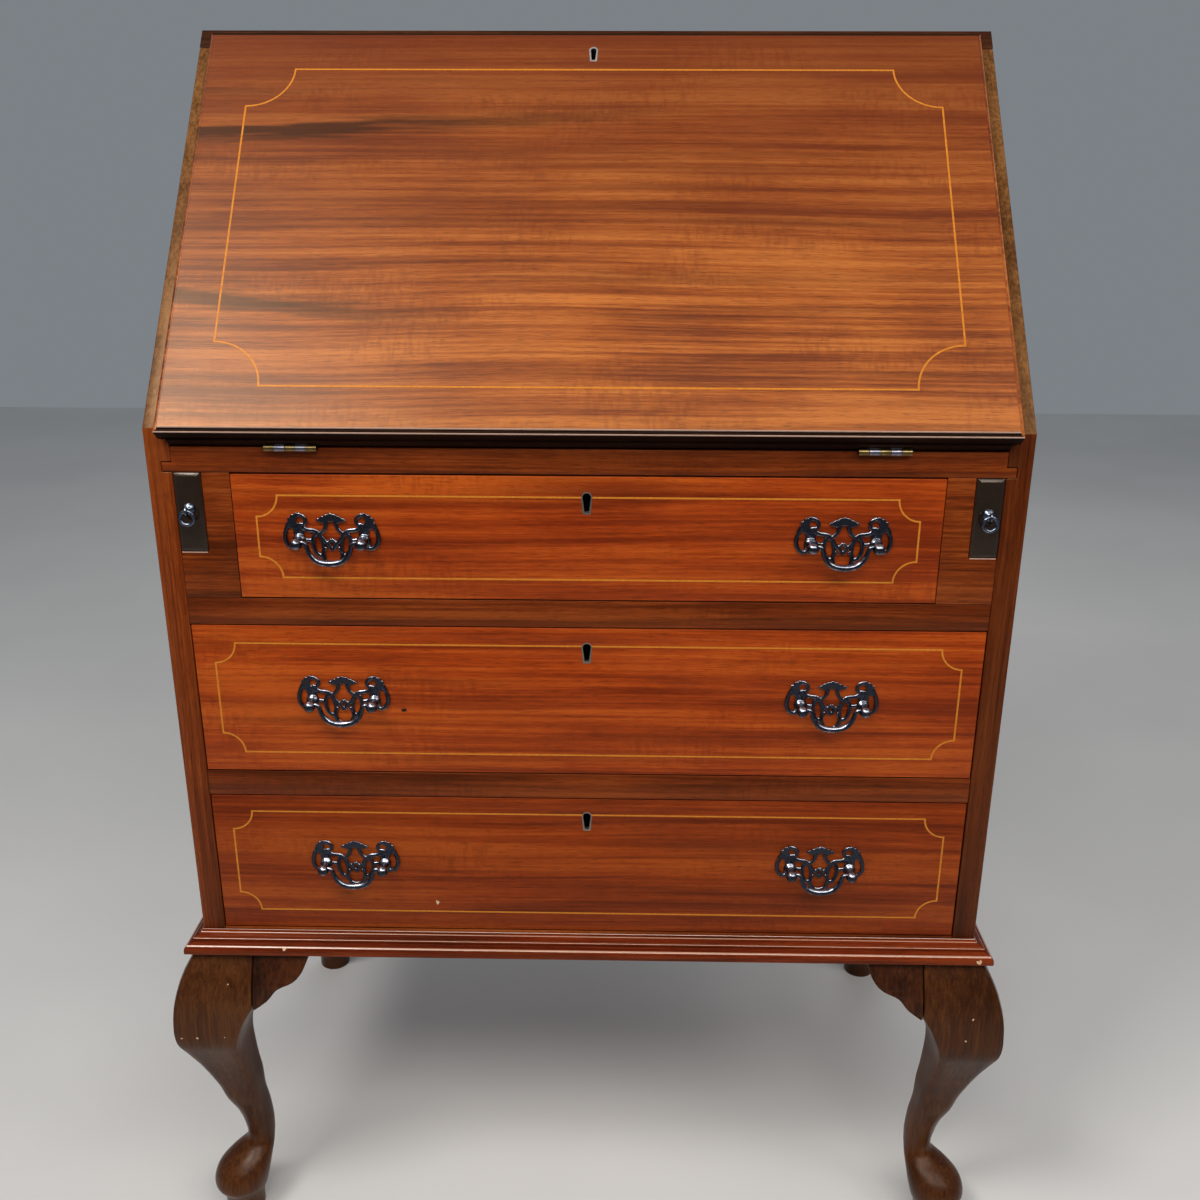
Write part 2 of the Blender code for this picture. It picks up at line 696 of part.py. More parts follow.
def bail_mesh():
    """The bail as it hangs, with its pins' axis along X through the world origin."""
    arm = [(Vector((x / 1000, 0, z / 1000)), r / 1000) for x, z, r in BAIL_ARM]
    arm[0] = (Vector((0.0222, 0, 0)), arm[0][1])
    path = arm + [(Vector((0, 0, -0.018)), 0.0022)]
    path += [(Vector((-p.x, 0, p.z)), r) for p, r in reversed(arm)]
    rings = []
    for i, (point, radius) in enumerate(path):
        before = path[max(i - 1, 0)][0]
        after = path[min(i + 1, len(path) - 1)][0]
        along = (after - before).normalized()
        across = along.cross(Vector((0, 1, 0)))
        rings.append(
            [
                point + (across * math.cos(a) + Vector((0, 1, 0)) * math.sin(a)) * radius
                for a in (2 * math.pi * k / 8 for k in range(8))
            ]
        )
    obj = add_object("bail_pattern", loft(rings), "dark_brass")
    smooth(obj, 60)
    mesh = obj.data
    bpy.data.objects.remove(obj)
    return mesh


def handles():
    plate = plate_mesh()
    bail = bail_mesh()
    for drawer, height in HANDLE_Z.items():
        for side, sign in (("left", -1), ("right", 1)):
            for piece, mesh, y in (("plate", plate, FRONT), ("bail", bail, FRONT - POST_OUT)):
                name = f"{drawer}_{piece}_{side}"
                own = mesh.copy()
                own.materials.clear()
                own.materials.append(finish_for(name, "dark_brass"))
                obj = bpy.data.objects.new(name, own)
                obj.location = (sign * HANDLE_X, y, height)
                bpy.context.scene.collection.objects.link(obj)


# ---------------------------------------------------------------- locks
def lock(owner, frame, bolt_in, origin):
    """A lock let in flush, with its bolt in an open channel. frame(x, up, deep) builds a box in its own axes."""
    body = frame((-LOCK_HALF, LOCK_HALF), (-LOCK_HEIGHT, -CLEAR), (0, LOCK_T))
    case = add_object(f"{owner}_lock", body, "steel")
    half = BOLT_HALF + CLEAR
    reach = BOLT_T / 2 + CLEAR
    channel = (bolt_in - reach, bolt_in + reach)
    cut(case, f"{owner}_channel", frame((-half, half), (-BOLT_LENGTH - MORTISE_GAP, 0.01), channel))
    depth = (bolt_in - BOLT_T / 2, bolt_in + BOLT_T / 2)
    bolt = frame((-BOLT_HALF, BOLT_HALF), (-BOLT_LENGTH, -CLEAR), depth)
    add_object(f"{owner}_bolt", bolt, "brass", origin)


def drawer_lock(name, top):
    inside = FRONT + DRAWER_FRONT_T

    def frame(x, up, deep):
        return box(x, (inside - deep[1], inside - deep[0]), (top + up[0], top + up[1]))

    lock(name, frame, DRAWER_BOLT_IN, (0.0, inside - LOCK_T / 2, top))


def fall_lock():
    def frame(x, up, deep):
        run = (FALL_TOP + up[0], FALL_TOP + up[1])
        return slope_box(x, run, (FALL_INNER + deep[0], FALL_INNER + deep[1]))

    lock("fall", frame, FALL_BOLT_IN, slope_point(0, FALL_TOP, FALL_INNER))


def locks():
    for name, (_, _, high) in DRAWERS.items():
        drawer_lock(name, high)
    fall_lock()


# ---------------------------------------------------------------- pigeonholes
def pigeonhole_rooms():
    """The compartments as (name, x range, z range), left to right."""
    low = BOARD_TOP + CLEAR + PIGEON_WALL
    high = PIGEON_TOP - PIGEON_WALL
    outer = PIGEON_HALF - PIGEON_WALL
    shelf = SMALL_DRAWER_Z[1] + 0.0005
    column = SMALL_DRAWER_X[0] - 0.0005
    rooms = []
    for side, sign in (("left", -1), ("right", 1)):
        span = sorted((sign * column, sign * outer))
        rooms.append((f"{side}_drawer_room", span, (SMALL_DRAWER_Z[0] - 0.0005, shelf)))
        middle = sum(span) / 2
        gap = PIGEON_WALL / 2
        upper = (shelf + PIGEON_WALL, high)
        rooms.append((f"{side}_outer_hole", (span[0], middle - gap), upper))
        rooms.append((f"{side}_inner_hole", (middle + gap, span[1]), upper))
    centre = column - PIGEON_WALL
    divide = low + 0.150
    rooms.append(("centre_hole", (-centre, centre), (low, divide)))
    for side, sign in (("left", -1), ("right", 1)):
        span = sorted((sign * PIGEON_WALL / 2, sign * centre))
        rooms.append((f"centre_{side}_hole", span, (divide + PIGEON_WALL, high)))
    return rooms


def pigeonholes():
    back = PANEL_FRONT - CLEAR
    body = box((-PIGEON_HALF, PIGEON_HALF), (PIGEON_FRONT, back), (BOARD_TOP + CLEAR, PIGEON_TOP))
    unit = add_object("pigeonhole_unit", body, "mahogany")
    for name, x, z in pigeonhole_rooms():
        cut(unit, f"pigeonhole_{name}", box(x, (PIGEON_FRONT - 0.01, back - 0.006), z))
    for side, sign in (("left", -1), ("right", 1)):
        x = sorted((sign * SMALL_DRAWER_X[0], sign * (SMALL_DRAWER_X[1])))
        middle = sum(x) / 2
        height = sum(SMALL_DRAWER_Z) / 2
        origin = (middle, PIGEON_FRONT, height)
        body = box(x, (PIGEON_FRONT, PIGEON_FRONT + SMALL_DRAWER_LENGTH), SMALL_DRAWER_Z)
        drawer = add_object(f"small_drawer_{side}", body, "mahogany", origin)
        wall = SMALL_DRAWER_WALL
        room_x = (x[0] + wall, x[1] - wall)
        room_y = (PIGEON_FRONT + 2 * wall, PIGEON_FRONT + SMALL_DRAWER_LENGTH - wall)
        room_z = (SMALL_DRAWER_Z[0] + wall, SMALL_DRAWER_Z[1] + 0.01)
        cut(drawer, f"small_drawer_{side}_room", box(room_x, room_y, room_z))
        profile = [(0, 0.0035), (0.001, 0.0035), (0.0022, 0.0020), (0.0050, 0.0020), (0.0070, 0.0048)]
        profile += [(0.0090, 0.0055), (0.0108, 0.0042), (0.0116, 0.0018)]
        base = (middle, PIGEON_FRONT - CLEAR, height)
        knob = add_object(f"small_knob_{side}", turned(profile, base, (0, -1, 0), 12), "brass", base)
        smooth(knob, 50)


def main():
    clear_scene()
    side_panels()
    top_board()
    back_panel()
    writing_board()
    rails()
    bottom_board()
    loper_housings()
    base_mouldings()
    legs()
    fall_front()
    fall_leather()
    hinges()
    lopers()
    drawers()
    handles()
    locks()
    pigeonholes()


main()
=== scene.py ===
"""The slant-front writing desk: polished mahogany, boxwood lines and pierced brass handles, on a plain floor.

Everything is in metres in the frame's own axes: +Z up, -Y the front, origin on the floor between the feet.
"""

import json
import math

import bmesh
import bpy
from mathutils import Matrix, Vector

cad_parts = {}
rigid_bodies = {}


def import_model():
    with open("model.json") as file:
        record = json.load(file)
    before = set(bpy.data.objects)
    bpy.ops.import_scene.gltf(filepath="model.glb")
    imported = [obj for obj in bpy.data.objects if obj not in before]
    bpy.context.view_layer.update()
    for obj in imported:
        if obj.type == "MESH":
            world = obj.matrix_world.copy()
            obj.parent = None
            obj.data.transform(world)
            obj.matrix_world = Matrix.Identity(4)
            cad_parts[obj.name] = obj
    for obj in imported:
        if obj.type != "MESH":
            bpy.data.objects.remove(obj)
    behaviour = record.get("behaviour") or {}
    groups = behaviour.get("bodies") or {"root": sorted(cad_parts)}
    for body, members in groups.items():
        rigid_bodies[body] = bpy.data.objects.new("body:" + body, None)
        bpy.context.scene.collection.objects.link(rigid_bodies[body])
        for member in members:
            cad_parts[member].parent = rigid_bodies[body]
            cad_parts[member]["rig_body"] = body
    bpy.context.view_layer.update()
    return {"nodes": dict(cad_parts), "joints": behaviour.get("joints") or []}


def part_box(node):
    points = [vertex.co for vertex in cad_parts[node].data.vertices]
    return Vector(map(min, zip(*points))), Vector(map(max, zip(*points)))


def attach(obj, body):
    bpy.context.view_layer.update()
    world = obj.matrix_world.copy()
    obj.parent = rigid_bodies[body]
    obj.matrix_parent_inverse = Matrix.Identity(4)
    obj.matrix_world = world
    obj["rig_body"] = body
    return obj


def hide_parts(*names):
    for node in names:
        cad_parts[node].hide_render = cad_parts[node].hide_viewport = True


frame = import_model()
NODES = frame["nodes"]
JOINTS = {joint["name"]: joint for joint in frame["joints"]}
GAP = 0.0003  # clearance between neighbouring pieces
WELD = 1e-7

SIDE_LOW, SIDE_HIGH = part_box("side_right")
WIDTH = 2 * SIDE_HIGH.x
FRONT = SIDE_LOW.y
BACK = SIDE_HIGH.y
CASE_BOTTOM = SIDE_LOW.z
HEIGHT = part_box("top_board")[1].z

# The slope of the sides: s runs up it from the knee, o stands out of it
KNEE = Vector((0.0, FRONT, 0.7537))
SLOPE = Vector((0.0, 0.2331, HEIGHT - KNEE.z)).normalized()
OUTWARD = Vector((0.0, -SLOPE.z, SLOPE.y))
# The fall board in s and o, and the lip round its outer half
FALL_INNER, FALL_OUTER = -0.0062, 0.0130
FALL_BOTTOM, FALL_TOP = -0.0100, 0.3580
LIP_BOTTOM, LIP_TOP = -0.0085, 0.3637
LIP_HALF = 0.3218


# ---- mesh helpers
def loft(rings, capped=True):
    """A skin over rings of equally many points."""
    bm = bmesh.new()
    rows = [[bm.verts.new(point) for point in ring] for ring in rings]
    count = len(rows[0])
    for lower, upper in zip(rows, rows[1:]):
        for i in range(count):
            j = (i + 1) % count
            bm.faces.new((lower[i], lower[j], upper[j], upper[i]))
    if capped:
        bm.faces.new(rows[0])
        bm.faces.new(rows[-1])
    bmesh.ops.recalc_face_normals(bm, faces=bm.faces)
    return bm


def band(rings):
    """A skin over rings, closed from the last ring to the first."""
    bm = loft(rings + [rings[0]], capped=False)
    bmesh.ops.remove_doubles(bm, verts=bm.verts, dist=WELD)
    return bm


def rectangle(a, b):
    return [(a[0], b[0]), (a[1], b[0]), (a[1], b[1]), (a[0], b[1])]


def box(x, y, z):
    return loft([[(along, a, b) for a, b in rectangle(y, z)] for along in x])


def slope_point(x, s, o):
    return KNEE + Vector((x, 0.0, 0.0)) + SLOPE * s + OUTWARD * o


def slope_box(x, s, o):
    return loft([[slope_point(a, b, height) for a, b in rectangle(x, s)] for height in o])


def arc(centre, radius, start, end, steps):
    """Points on an arc, angles in degrees."""
    turns = [math.radians(start + (end - start) * i / steps) for i in range(steps + 1)]
    return [(centre[0] + radius * math.cos(t), centre[1] + radius * math.sin(t)) for t in turns]


def hoop(centre, across, side, radius, count):
    """Points round a centre, in the plane of two directions."""
    turns = [2 * math.pi * i / count for i in range(count)]
    return [centre + (across * math.cos(t) + side * math.sin(t)) * radius for t in turns]


def turned(profile, base, direction, sides=40):
    """A turned piece from (distance along, radius) pairs."""
    axis = Vector(direction).normalized()
    across = axis.orthogonal().normalized()
    side = axis.cross(across)
    return loft([hoop(Vector(base) + axis * along, across, side, radius, sides) for along, radius in profile])


def tube(path, radii, sides, flatten=1.0):
    """A tube along points in an XZ plane, flattened front to back where flatten is under 1."""
    points = [Vector(p) for p in path]
    rings = []
    for i, point in enumerate(points):
        along = (points[min(i + 1, len(points) - 1)] - points[max(i - 1, 0)]).normalized()
        across = along.cross(Vector((0, 1, 0))).normalized()
        rings.append(hoop(point, across, Vector((0, flatten, 0)), radii[i], sides))
    return loft(rings)


def curve_value(t, a, b, c, d):
    """Catmull-Rom between b and c."""
    square = 2 * a - 5 * b + 4 * c - d
    cube = 3 * b - a - 3 * c + d
    return 0.5 * (2 * b + (c - a) * t + square * t**2 + cube * t**3)


def curve_points(points, steps):
    """A smooth line through points."""
    found = []
    last = len(points) - 1
    for i in range(last):
        four = (points[max(i - 1, 0)], points[i], points[i + 1], points[min(i + 2, last)])
        for k in range(steps):
            found.append(tuple(curve_value(k / steps, *values) for values in zip(*four)))
    found.append(tuple(points[-1]))
    return found


def merged(parts):
    """Several bmeshes as one."""
    whole = bmesh.new()
    for part in parts:
        mesh = bpy.data.meshes.new("part")
        part.to_mesh(mesh)
        part.free()
        whole.from_mesh(mesh)
        bpy.data.meshes.remove(mesh)
    return whole


def new_object(name, bm):
    mesh = bpy.data.meshes.new(name)
    bm.to_mesh(mesh)
    bm.free()
    obj = bpy.data.objects.new(name, mesh)
    bpy.context.scene.collection.objects.link(obj)
    return obj


def apply_modifiers(obj):
    graph = bpy.context.evaluated_depsgraph_get()
    graph.update()
    mesh = bpy.data.meshes.new_from_object(obj.evaluated_get(graph))
    obj.modifiers.clear()
    obj.data = mesh
    return obj


def cut(obj, bm):
    """Takes a shape away from the object for good."""
    cutter = new_object("cutter", bm)
    modifier = obj.modifiers.new("cut", "BOOLEAN")
    modifier.operation = "DIFFERENCE"
    modifier.object = cutter
    apply_modifiers(obj)
    bpy.data.objects.remove(cutter)


def bevel(obj, width, segments=2, angle=35):
    modifier = obj.modifiers.new("arris", "BEVEL")
    modifier.width = width
    modifier.segments = segments
    modifier.limit_method = "ANGLE"
    modifier.angle_limit = math.radians(angle)
    return apply_modifiers(obj)


def smooth(obj, degrees=30):
    obj.data.shade_smooth()
    obj.data.set_sharp_from_angle(angle=math.radians(degrees))
    return obj


def dress(obj, material, body, slot, *nodes):
    """Gives a piece its material and the body it moves with, and hides the CAD nodes that it stands for."""
    obj.data.materials.clear()
    obj.data.materials.append(material)
    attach(obj, body)
    if nodes:
        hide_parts(*nodes)
    return obj


def repaint(obj, material, chosen):
    """Gives the faces that pass a test one more material."""
    obj.data.materials.append(material)
    for polygon in obj.data.polygons:
        if chosen(polygon):
            polygon.material_index = len(obj.data.materials) - 1


def clean_copy(node):
    """The CAD node's mesh as a new object, its flat faces whole again so that its edges can be rounded."""
    bm = bmesh.new()
    bm.from_mesh(NODES[node].data)
    bmesh.ops.remove_doubles(bm, verts=bm.verts, dist=2e-6)
    bmesh.ops.dissolve_limit(bm, angle_limit=math.radians(1.0), verts=bm.verts, edges=bm.edges)
    return new_object(f"{node}_piece", bm)


def body_of(node):
    return NODES[node]["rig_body"]


def softened(node, material, slot, width, segments=2):
    """A CAD node with its arrises rounded as a polisher leaves them."""
    obj = smooth(bevel(clean_copy(node), width, segments), 50)
    return dress(obj, material, body_of(node), slot, node)


# ---- shader helpers
def rgba(color):
    return color if isinstance(color, bpy.types.NodeSocket) else (*color, 1)


class Shader:
    """Short calls for building one material's nodes."""

    def __init__(self, name):
        self.material = bpy.data.materials.new(name)
        self.material.use_nodes = True
        self.tree = self.material.node_tree
        self.bsdf = self.tree.nodes["Principled BSDF"]

    def put(self, socket, value):
        if isinstance(value, bpy.types.NodeSocket):
            self.tree.links.new(value, socket)
        else:
            socket.default_value = value

    def node(self, kind, settings=(), **inputs):
        node = self.tree.nodes.new(kind)
        for key, value in dict(settings).items():
            setattr(node, key, value)
        for key, value in inputs.items():
            self.put(node.inputs[key.replace("_", " ")], value)
        return node

    def math(self, operation, a, b=0.0):
        node = self.node("ShaderNodeMath", {"operation": operation})
        self.put(node.inputs[0], a)
        self.put(node.inputs[1], b)
        return node.outputs[0]

    def plus(self, a, b):
        return self.math("ADD", a, b)

    def times(self, a, b):
        return self.math("MULTIPLY", a, b)

    def weighted(self, a, share, b, rest):
        return self.plus(self.times(a, share), self.times(b, rest))

    def fade(self, value):
        """From 1 at a value of 0 to 0 at a value of 1 and beyond."""
        return self.math("MAXIMUM", self.math("SUBTRACT", 1.0, value), 0.0)

    def noise(self, vector, scale=1.0, detail=3.0, roughness=0.5, distortion=0.0):
        shape = {"Detail": detail, "Roughness": roughness, "Distortion": distortion}
        return self.node("ShaderNodeTexNoise", Vector=vector, Scale=scale, **shape).outputs["Fac"]

    def figure(self, place, along, across, detail, offset=(0, 0, 0), roughness=0.5):
        """Noise drawn out along the first axis."""
        stretched = self.stretch(place, (along, across, across), offset)
        return self.noise(stretched, detail=detail, roughness=roughness)

    def wander(self, noise, reach):
        """A noise turned to swing either side of zero."""
        return self.times(self.math("SUBTRACT", noise, 0.5), reach)

    def stretch(self, vector, scale, offset=(0, 0, 0)):
        return self.node("ShaderNodeMapping", Vector=vector, Scale=scale, Location=offset).outputs[0]

    def ramp(self, factor, stops):
        """Stops are (place, brightness or colour)."""
        node = self.node("ShaderNodeValToRGB", Fac=factor)
        elements = node.color_ramp.elements
        while len(elements) < len(stops):
            elements.new(0.5)
        for element, (place, value) in zip(elements, stops):
            element.position = place
            element.color = (value, value, value, 1) if isinstance(value, float) else (*value, 1)
        return node.outputs[0]

    def mix(self, factor, a, b, blend="MIX"):
        node = self.node("ShaderNodeMix", {"data_type": "RGBA", "blend_type": blend})
        self.put(node.inputs[0], factor)
        self.put(node.inputs[6], rgba(a))
        self.put(node.inputs[7], rgba(b))
        return node.outputs[2]

    def bump(self, height, strength, distance):
        return self.node("ShaderNodeBump", Height=height, Strength=strength, Distance=distance).outputs[0]

    def object_vector(self, order="XYZ", offset=(0, 0, 0)):
        """Object coordinates with the named axes first, second and third."""
        vector = self.node("ShaderNodeTexCoord").outputs["Object"]
        split = self.node("ShaderNodeSeparateXYZ", Vector=vector)
        joined = self.node("ShaderNodeCombineXYZ")
        for socket, axis in zip(joined.inputs, order):
            self.put(socket, split.outputs[axis])
        return self.stretch(joined.outputs[0], (1, 1, 1), offset)

    def streak(self, color, start, reach, half, slant, strength, paint):
        """One dark streak along X, rising by slant per metre and thinning out over its reach."""
        place = self.object_vector("XYZ")
        parts = self.node("ShaderNodeSeparateXYZ", Vector=place)
        along = self.math("SUBTRACT", parts.outputs["X"], start[0])
        level = self.plus(self.times(along, slant), start[1])
        ragged = self.noise(self.stretch(place, (14.0, 14.0, 260.0)), detail=3.0)
        level = self.plus(level, self.wander(ragged, half * 2.2))
        apart = self.math("ABSOLUTE", self.math("SUBTRACT", parts.outputs["Z"], level))
        left = self.fade(self.math("DIVIDE", along, reach))
        across = self.fade(self.math("DIVIDE", apart, half))
        cover = self.times(self.times(across, left), strength * 1.8)
        return self.mix(self.math("MINIMUM", cover, strength), color, paint)

    def spot(self, color, centre, radius, paint):
        """A chip or a knot: a small ragged patch of another colour."""
        place = self.object_vector("XYZ")
        apart = self.node("ShaderNodeVectorMath", {"operation": "DISTANCE"})
        self.put(apart.inputs[0], place)
        self.put(apart.inputs[1], centre)
        wobble = self.wander(self.noise(place, scale=0.9 / radius), 3.0 * radius)
        edge = self.plus(apart.outputs["Value"], wobble)
        return self.mix(self.math("LESS_THAN", edge, radius), color, paint)

    def finish(self, color, roughness, bump=None, metallic=0.0, specular=0.5, tint=(1, 1, 1)):
        self.put(self.bsdf.inputs["Base Color"], rgba(color))
        self.put(self.bsdf.inputs["Roughness"], roughness)
        self.put(self.bsdf.inputs["Metallic"], metallic)
        self.bsdf.inputs["Specular IOR Level"].default_value = specular
        self.bsdf.inputs["Specular Tint"].default_value = (*tint, 1)
        if bump is not None:
            self.put(self.bsdf.inputs["Normal"], bump)
        return self.material


ORDERS = {"X": "XYZ", "Y": "YXZ", "Z": "ZXY"}  # the grain's axis first
POLISH_TINT = (1.0, 0.62, 0.36)


def wood(
    name, along, tones, seed=0.0, ribbon=0.5, mottle=0.3, streak=0.5, rough=(0.26, 0.38),
    marks=(), streaks=(), gloss=0.27, tint=POLISH_TINT, shade=None, pores=0.45,
):
    """Polished mahogany with ribbon figure.

    along is the grain's axis; tones are deep, middle and light; marks are chips or knots.
    shade is painted shade, a darker tone that comes in with height: (low, high, colour, strength).
    """
    shader = Shader(name)
    deep, middle, light = tones
    place = shader.object_vector(ORDERS[along], (seed * 1.7, seed * 0.61, seed * 0.43))
    # The grain waves slowly across the board
    wave = shader.figure(place, 2.2, 4.0, 1.0)
    shift = shader.wander(wave, 0.014)
    lifted = shader.node("ShaderNodeCombineXYZ", X=0.0, Y=shift, Z=shift).outputs[0]
    added = shader.node("ShaderNodeVectorMath", {"operation": "ADD"})
    shader.put(added.inputs[0], place)
    shader.put(added.inputs[1], lifted)
    grain = added.outputs[0]

    # Its figure from broad bands to single fibres, and slow clouds: noise, weight
    layers = (
        (shader.figure(grain, 1.5, 34.0, 2.0), ribbon),
        (shader.figure(grain, 2.4, 130.0, 3.0, roughness=0.6), 1.1 * ribbon),
        (shader.figure(grain, 5.0, 420.0, 2.0), 0.46),
        (shader.figure(grain, 60.0, 1500.0, 2.0), 0.30),
        (shader.figure(place, 7.0, 12.0, 2.0), 0.40),
    )
    amount = 0.0
    total = sum(weight for _, weight in layers)
    for layer, weight in layers:
        amount = shader.plus(amount, shader.times(layer, weight / total))
    color = shader.ramp(amount, [(0.425, deep), (0.50, middle), (0.575, light)])
    # Dark ribbons that run with the grain and fade out
    ribbons = shader.figure(grain, 2.6, 66.0, 2.0, (3.1, 1.7, 0.4))
    mask = shader.ramp(ribbons, [(0.54, 0.0), (0.72, 1.0)])
    color = shader.mix(shader.times(mask, streak), color, tuple(c * 0.55 for c in deep))
    # Fiddle-back: short ripples across the grain, in places
    ripple = shader.figure(grain, 260.0, 90.0, 1.0, (0.4, 0.9, 3.3))
    zone = shader.figure(place, 9.0, 22.0, 2.0, (4.4, 1.1, 0.3))
    short = shader.ramp(ripple, [(0.46, 0.0), (0.62, 1.0)])
    ripples = shader.times(short, shader.ramp(zone, [(0.48, 0.0), (0.62, 1.0)]))
    color = shader.mix(shader.times(ripples, mottle), color, deep)
    # Open pores, short dark dashes along the grain
    dots = shader.figure(grain, 90.0, 1900.0, 1.0, (1.3, 0.2, 0.9))
    dashes = shader.ramp(dots, [(0.58, 0.0), (0.68, 1.0)])
    color = shader.mix(shader.times(dashes, pores), color, tuple(c * 0.40 for c in deep))
    # Painted shade: the colour darkens with height
    if shade is not None:
        height = shader.node("ShaderNodeSeparateXYZ", Vector=shader.object_vector("XYZ")).outputs["Z"]
        low, high, paint, cover = shade
        share = shader.math("DIVIDE", shader.math("SUBTRACT", height, low), high - low)
        share = shader.math("MINIMUM", shader.math("MAXIMUM", share, 0.0), 1.0)
        color = shader.mix(shader.times(share, cover), color, paint)
    for start, reach, half, slant, strength in streaks:
        color = shader.streak(color, start, reach, half, slant, strength, tuple(c * 0.22 for c in deep))
    for centre, radius, paint in marks:
        color = shader.spot(color, centre, radius, paint)
    smudges = shader.figure(place, 16.0, 16.0, 3.0)
    low, high = rough
    spread = high - low
    roughness = shader.plus(shader.times(smudges, spread * 1.4), low - spread * 0.2)
    relief = shader.math("SUBTRACT", shader.times(amount, 0.5), shader.times(dashes, 0.5))
    return shader.finish(color, roughness, shader.bump(relief, 0.07, 0.0004), specular=gloss, tint=tint)


def plain_wood(name, along, dark, light, seed=0.0):
    """Planed, waxed drawer linings with growth-ring grain."""
    shader = Shader(name)
    place = shader.object_vector(ORDERS[along], (seed * 1.3, seed * 0.5, seed * 0.2))
    rings = shader.noise(shader.stretch(place, (1.6, 60.0, 60.0)), detail=4.0, distortion=0.6)
    fibre = shader.figure(place, 14.0, 700.0, 2.0)
    amount = shader.weighted(rings, 0.65, fibre, 0.35)
    color = shader.ramp(amount, [(0.36, dark), (0.62, light)])
    return shader.finish(color, 0.62, shader.bump(amount, 0.2, 0.0006))


def antique_metal(name, base, painted_highlight, rough, seed=0.0):
    """Old metal, dark and pitted, with a painted highlight where it faces up or down, broken up by noise."""
    shader = Shader(name)
    place = shader.object_vector("XYZ", (seed, seed * 0.7, 0))
    clouds = shader.noise(place, scale=260.0, detail=4.0)
    pits = shader.noise(place, scale=1700.0, detail=2.0)
    # Faces turned up or down take the lighter colour as a painted highlight
    normal = shader.node("ShaderNodeNewGeometry").outputs["Normal"]
    level = shader.math("ABSOLUTE", shader.node("ShaderNodeSeparateXYZ", Vector=normal).outputs["Z"])
    edges = shader.plus(level, shader.wander(clouds, 0.9))
    color = shader.mix(shader.ramp(edges, [(0.30, 0.0), (0.95, 1.0)]), base, painted_highlight)
    roughness = shader.plus(shader.times(clouds, 0.12), rough)
    height = shader.weighted(clouds, 0.6, pits, 0.4)
    return shader.finish(color, roughness, shader.bump(height, 0.03, 0.0003), metallic=1.0)


def black_polish():
    shader = Shader("ebonised_polish")
    place = shader.object_vector("ZXY")
    grain = shader.figure(place, 30.0, 900.0, 2.0)
    clouds = shader.noise(place, scale=90.0, detail=3.0)
    color = shader.mix(clouds, (0.008, 0.004, 0.002), (0.018, 0.010, 0.006))
    roughness = shader.plus(shader.times(clouds, 0.10), 0.14)
    bump = shader.bump(grain, 0.08, 0.0004)
    return shader.finish(color, roughness, bump, specular=0.35, tint=(1.0, 0.85, 0.75))


def boxwood():
    shader = Shader("boxwood_line")
    place = shader.object_vector("XYZ")
    flecks = shader.noise(place, scale=420.0, detail=3.0)
    broad = shader.noise(place, scale=28.0, detail=2.0)
    color = shader.ramp(flecks, [(0.3, (0.46, 0.150, 0.014)), (0.7, (0.60, 0.225, 0.028))])
    color = shader.mix(shader.times(broad, 0.35), color, (0.34, 0.095, 0.010))
    return shader.finish(color, 0.32, specular=0.27, tint=POLISH_TINT)


def leather():
    shader = Shader("writing_leather")
    place = shader.object_vector("XYZ")
    cells = shader.node("ShaderNodeTexVoronoi", Vector=place, Scale=900.0).outputs["Distance"]
    clouds = shader.noise(place, scale=11.0, detail=4.0)
    creases = shader.noise(place, scale=320.0, detail=4.0)
    color = shader.ramp(clouds, [(0.3, (0.020, 0.060, 0.030)), (0.7, (0.035, 0.095, 0.045))])
    roughness = shader.plus(shader.times(creases, 0.2), 0.38)
    height = shader.weighted(cells, 0.6, creases, 0.4)
    return shader.finish(color, roughness, shader.bump(height, 0.35, 0.0004))


def scaled(tones, share):
    """A set of tones made lighter or darker."""
    return tuple(tuple(c * share for c in tone) for tone in tones)


def highlight_wood(name, color, roughness):
    """A lighter wood colour laid along an edge or bead as a painted highlight."""
    shader = Shader(name)
    clouds = shader.noise(shader.object_vector("XYZ"), scale=140.0, detail=3.0)
    return shader.finish(shader.mix(clouds, *scaled((color,), 0.8), *scaled((color,), 1.15)), roughness)


# Colours of the polished surfaces, deep to light
RED = ((0.150, 0.016, 0.002), (0.290, 0.038, 0.004), (0.420, 0.075, 0.008))
FALL = ((0.120, 0.020, 0.003), (0.270, 0.062, 0.009), (0.410, 0.120, 0.022))
DARK = ((0.062, 0.009, 0.001), (0.150, 0.024, 0.003), (0.240, 0.050, 0.008))
LEG = ((0.028, 0.007, 0.001), (0.055, 0.015, 0.003), (0.085, 0.027, 0.006))
EAR = ((0.012, 0.003, 0.001), (0.034, 0.008, 0.002), (0.062, 0.016, 0.004))
BOARD = ((0.055, 0.008, 0.001), (0.130, 0.020, 0.003), (0.220, 0.042, 0.006))
EDGE = ((0.060, 0.021, 0.005), (0.130, 0.050, 0.012), (0.200, 0.086, 0.026))
MOULDING = ((0.050, 0.006, 0.002), (0.120, 0.014, 0.003), (0.190, 0.028, 0.006))
LIP_STAIN_AND_SHADOW = ((0.004, 0.001, 0.001), (0.009, 0.003, 0.002), (0.018, 0.006, 0.003))
CHIP = (0.62, 0.42, 0.26)
KNOT = (0.012, 0.005, 0.003)

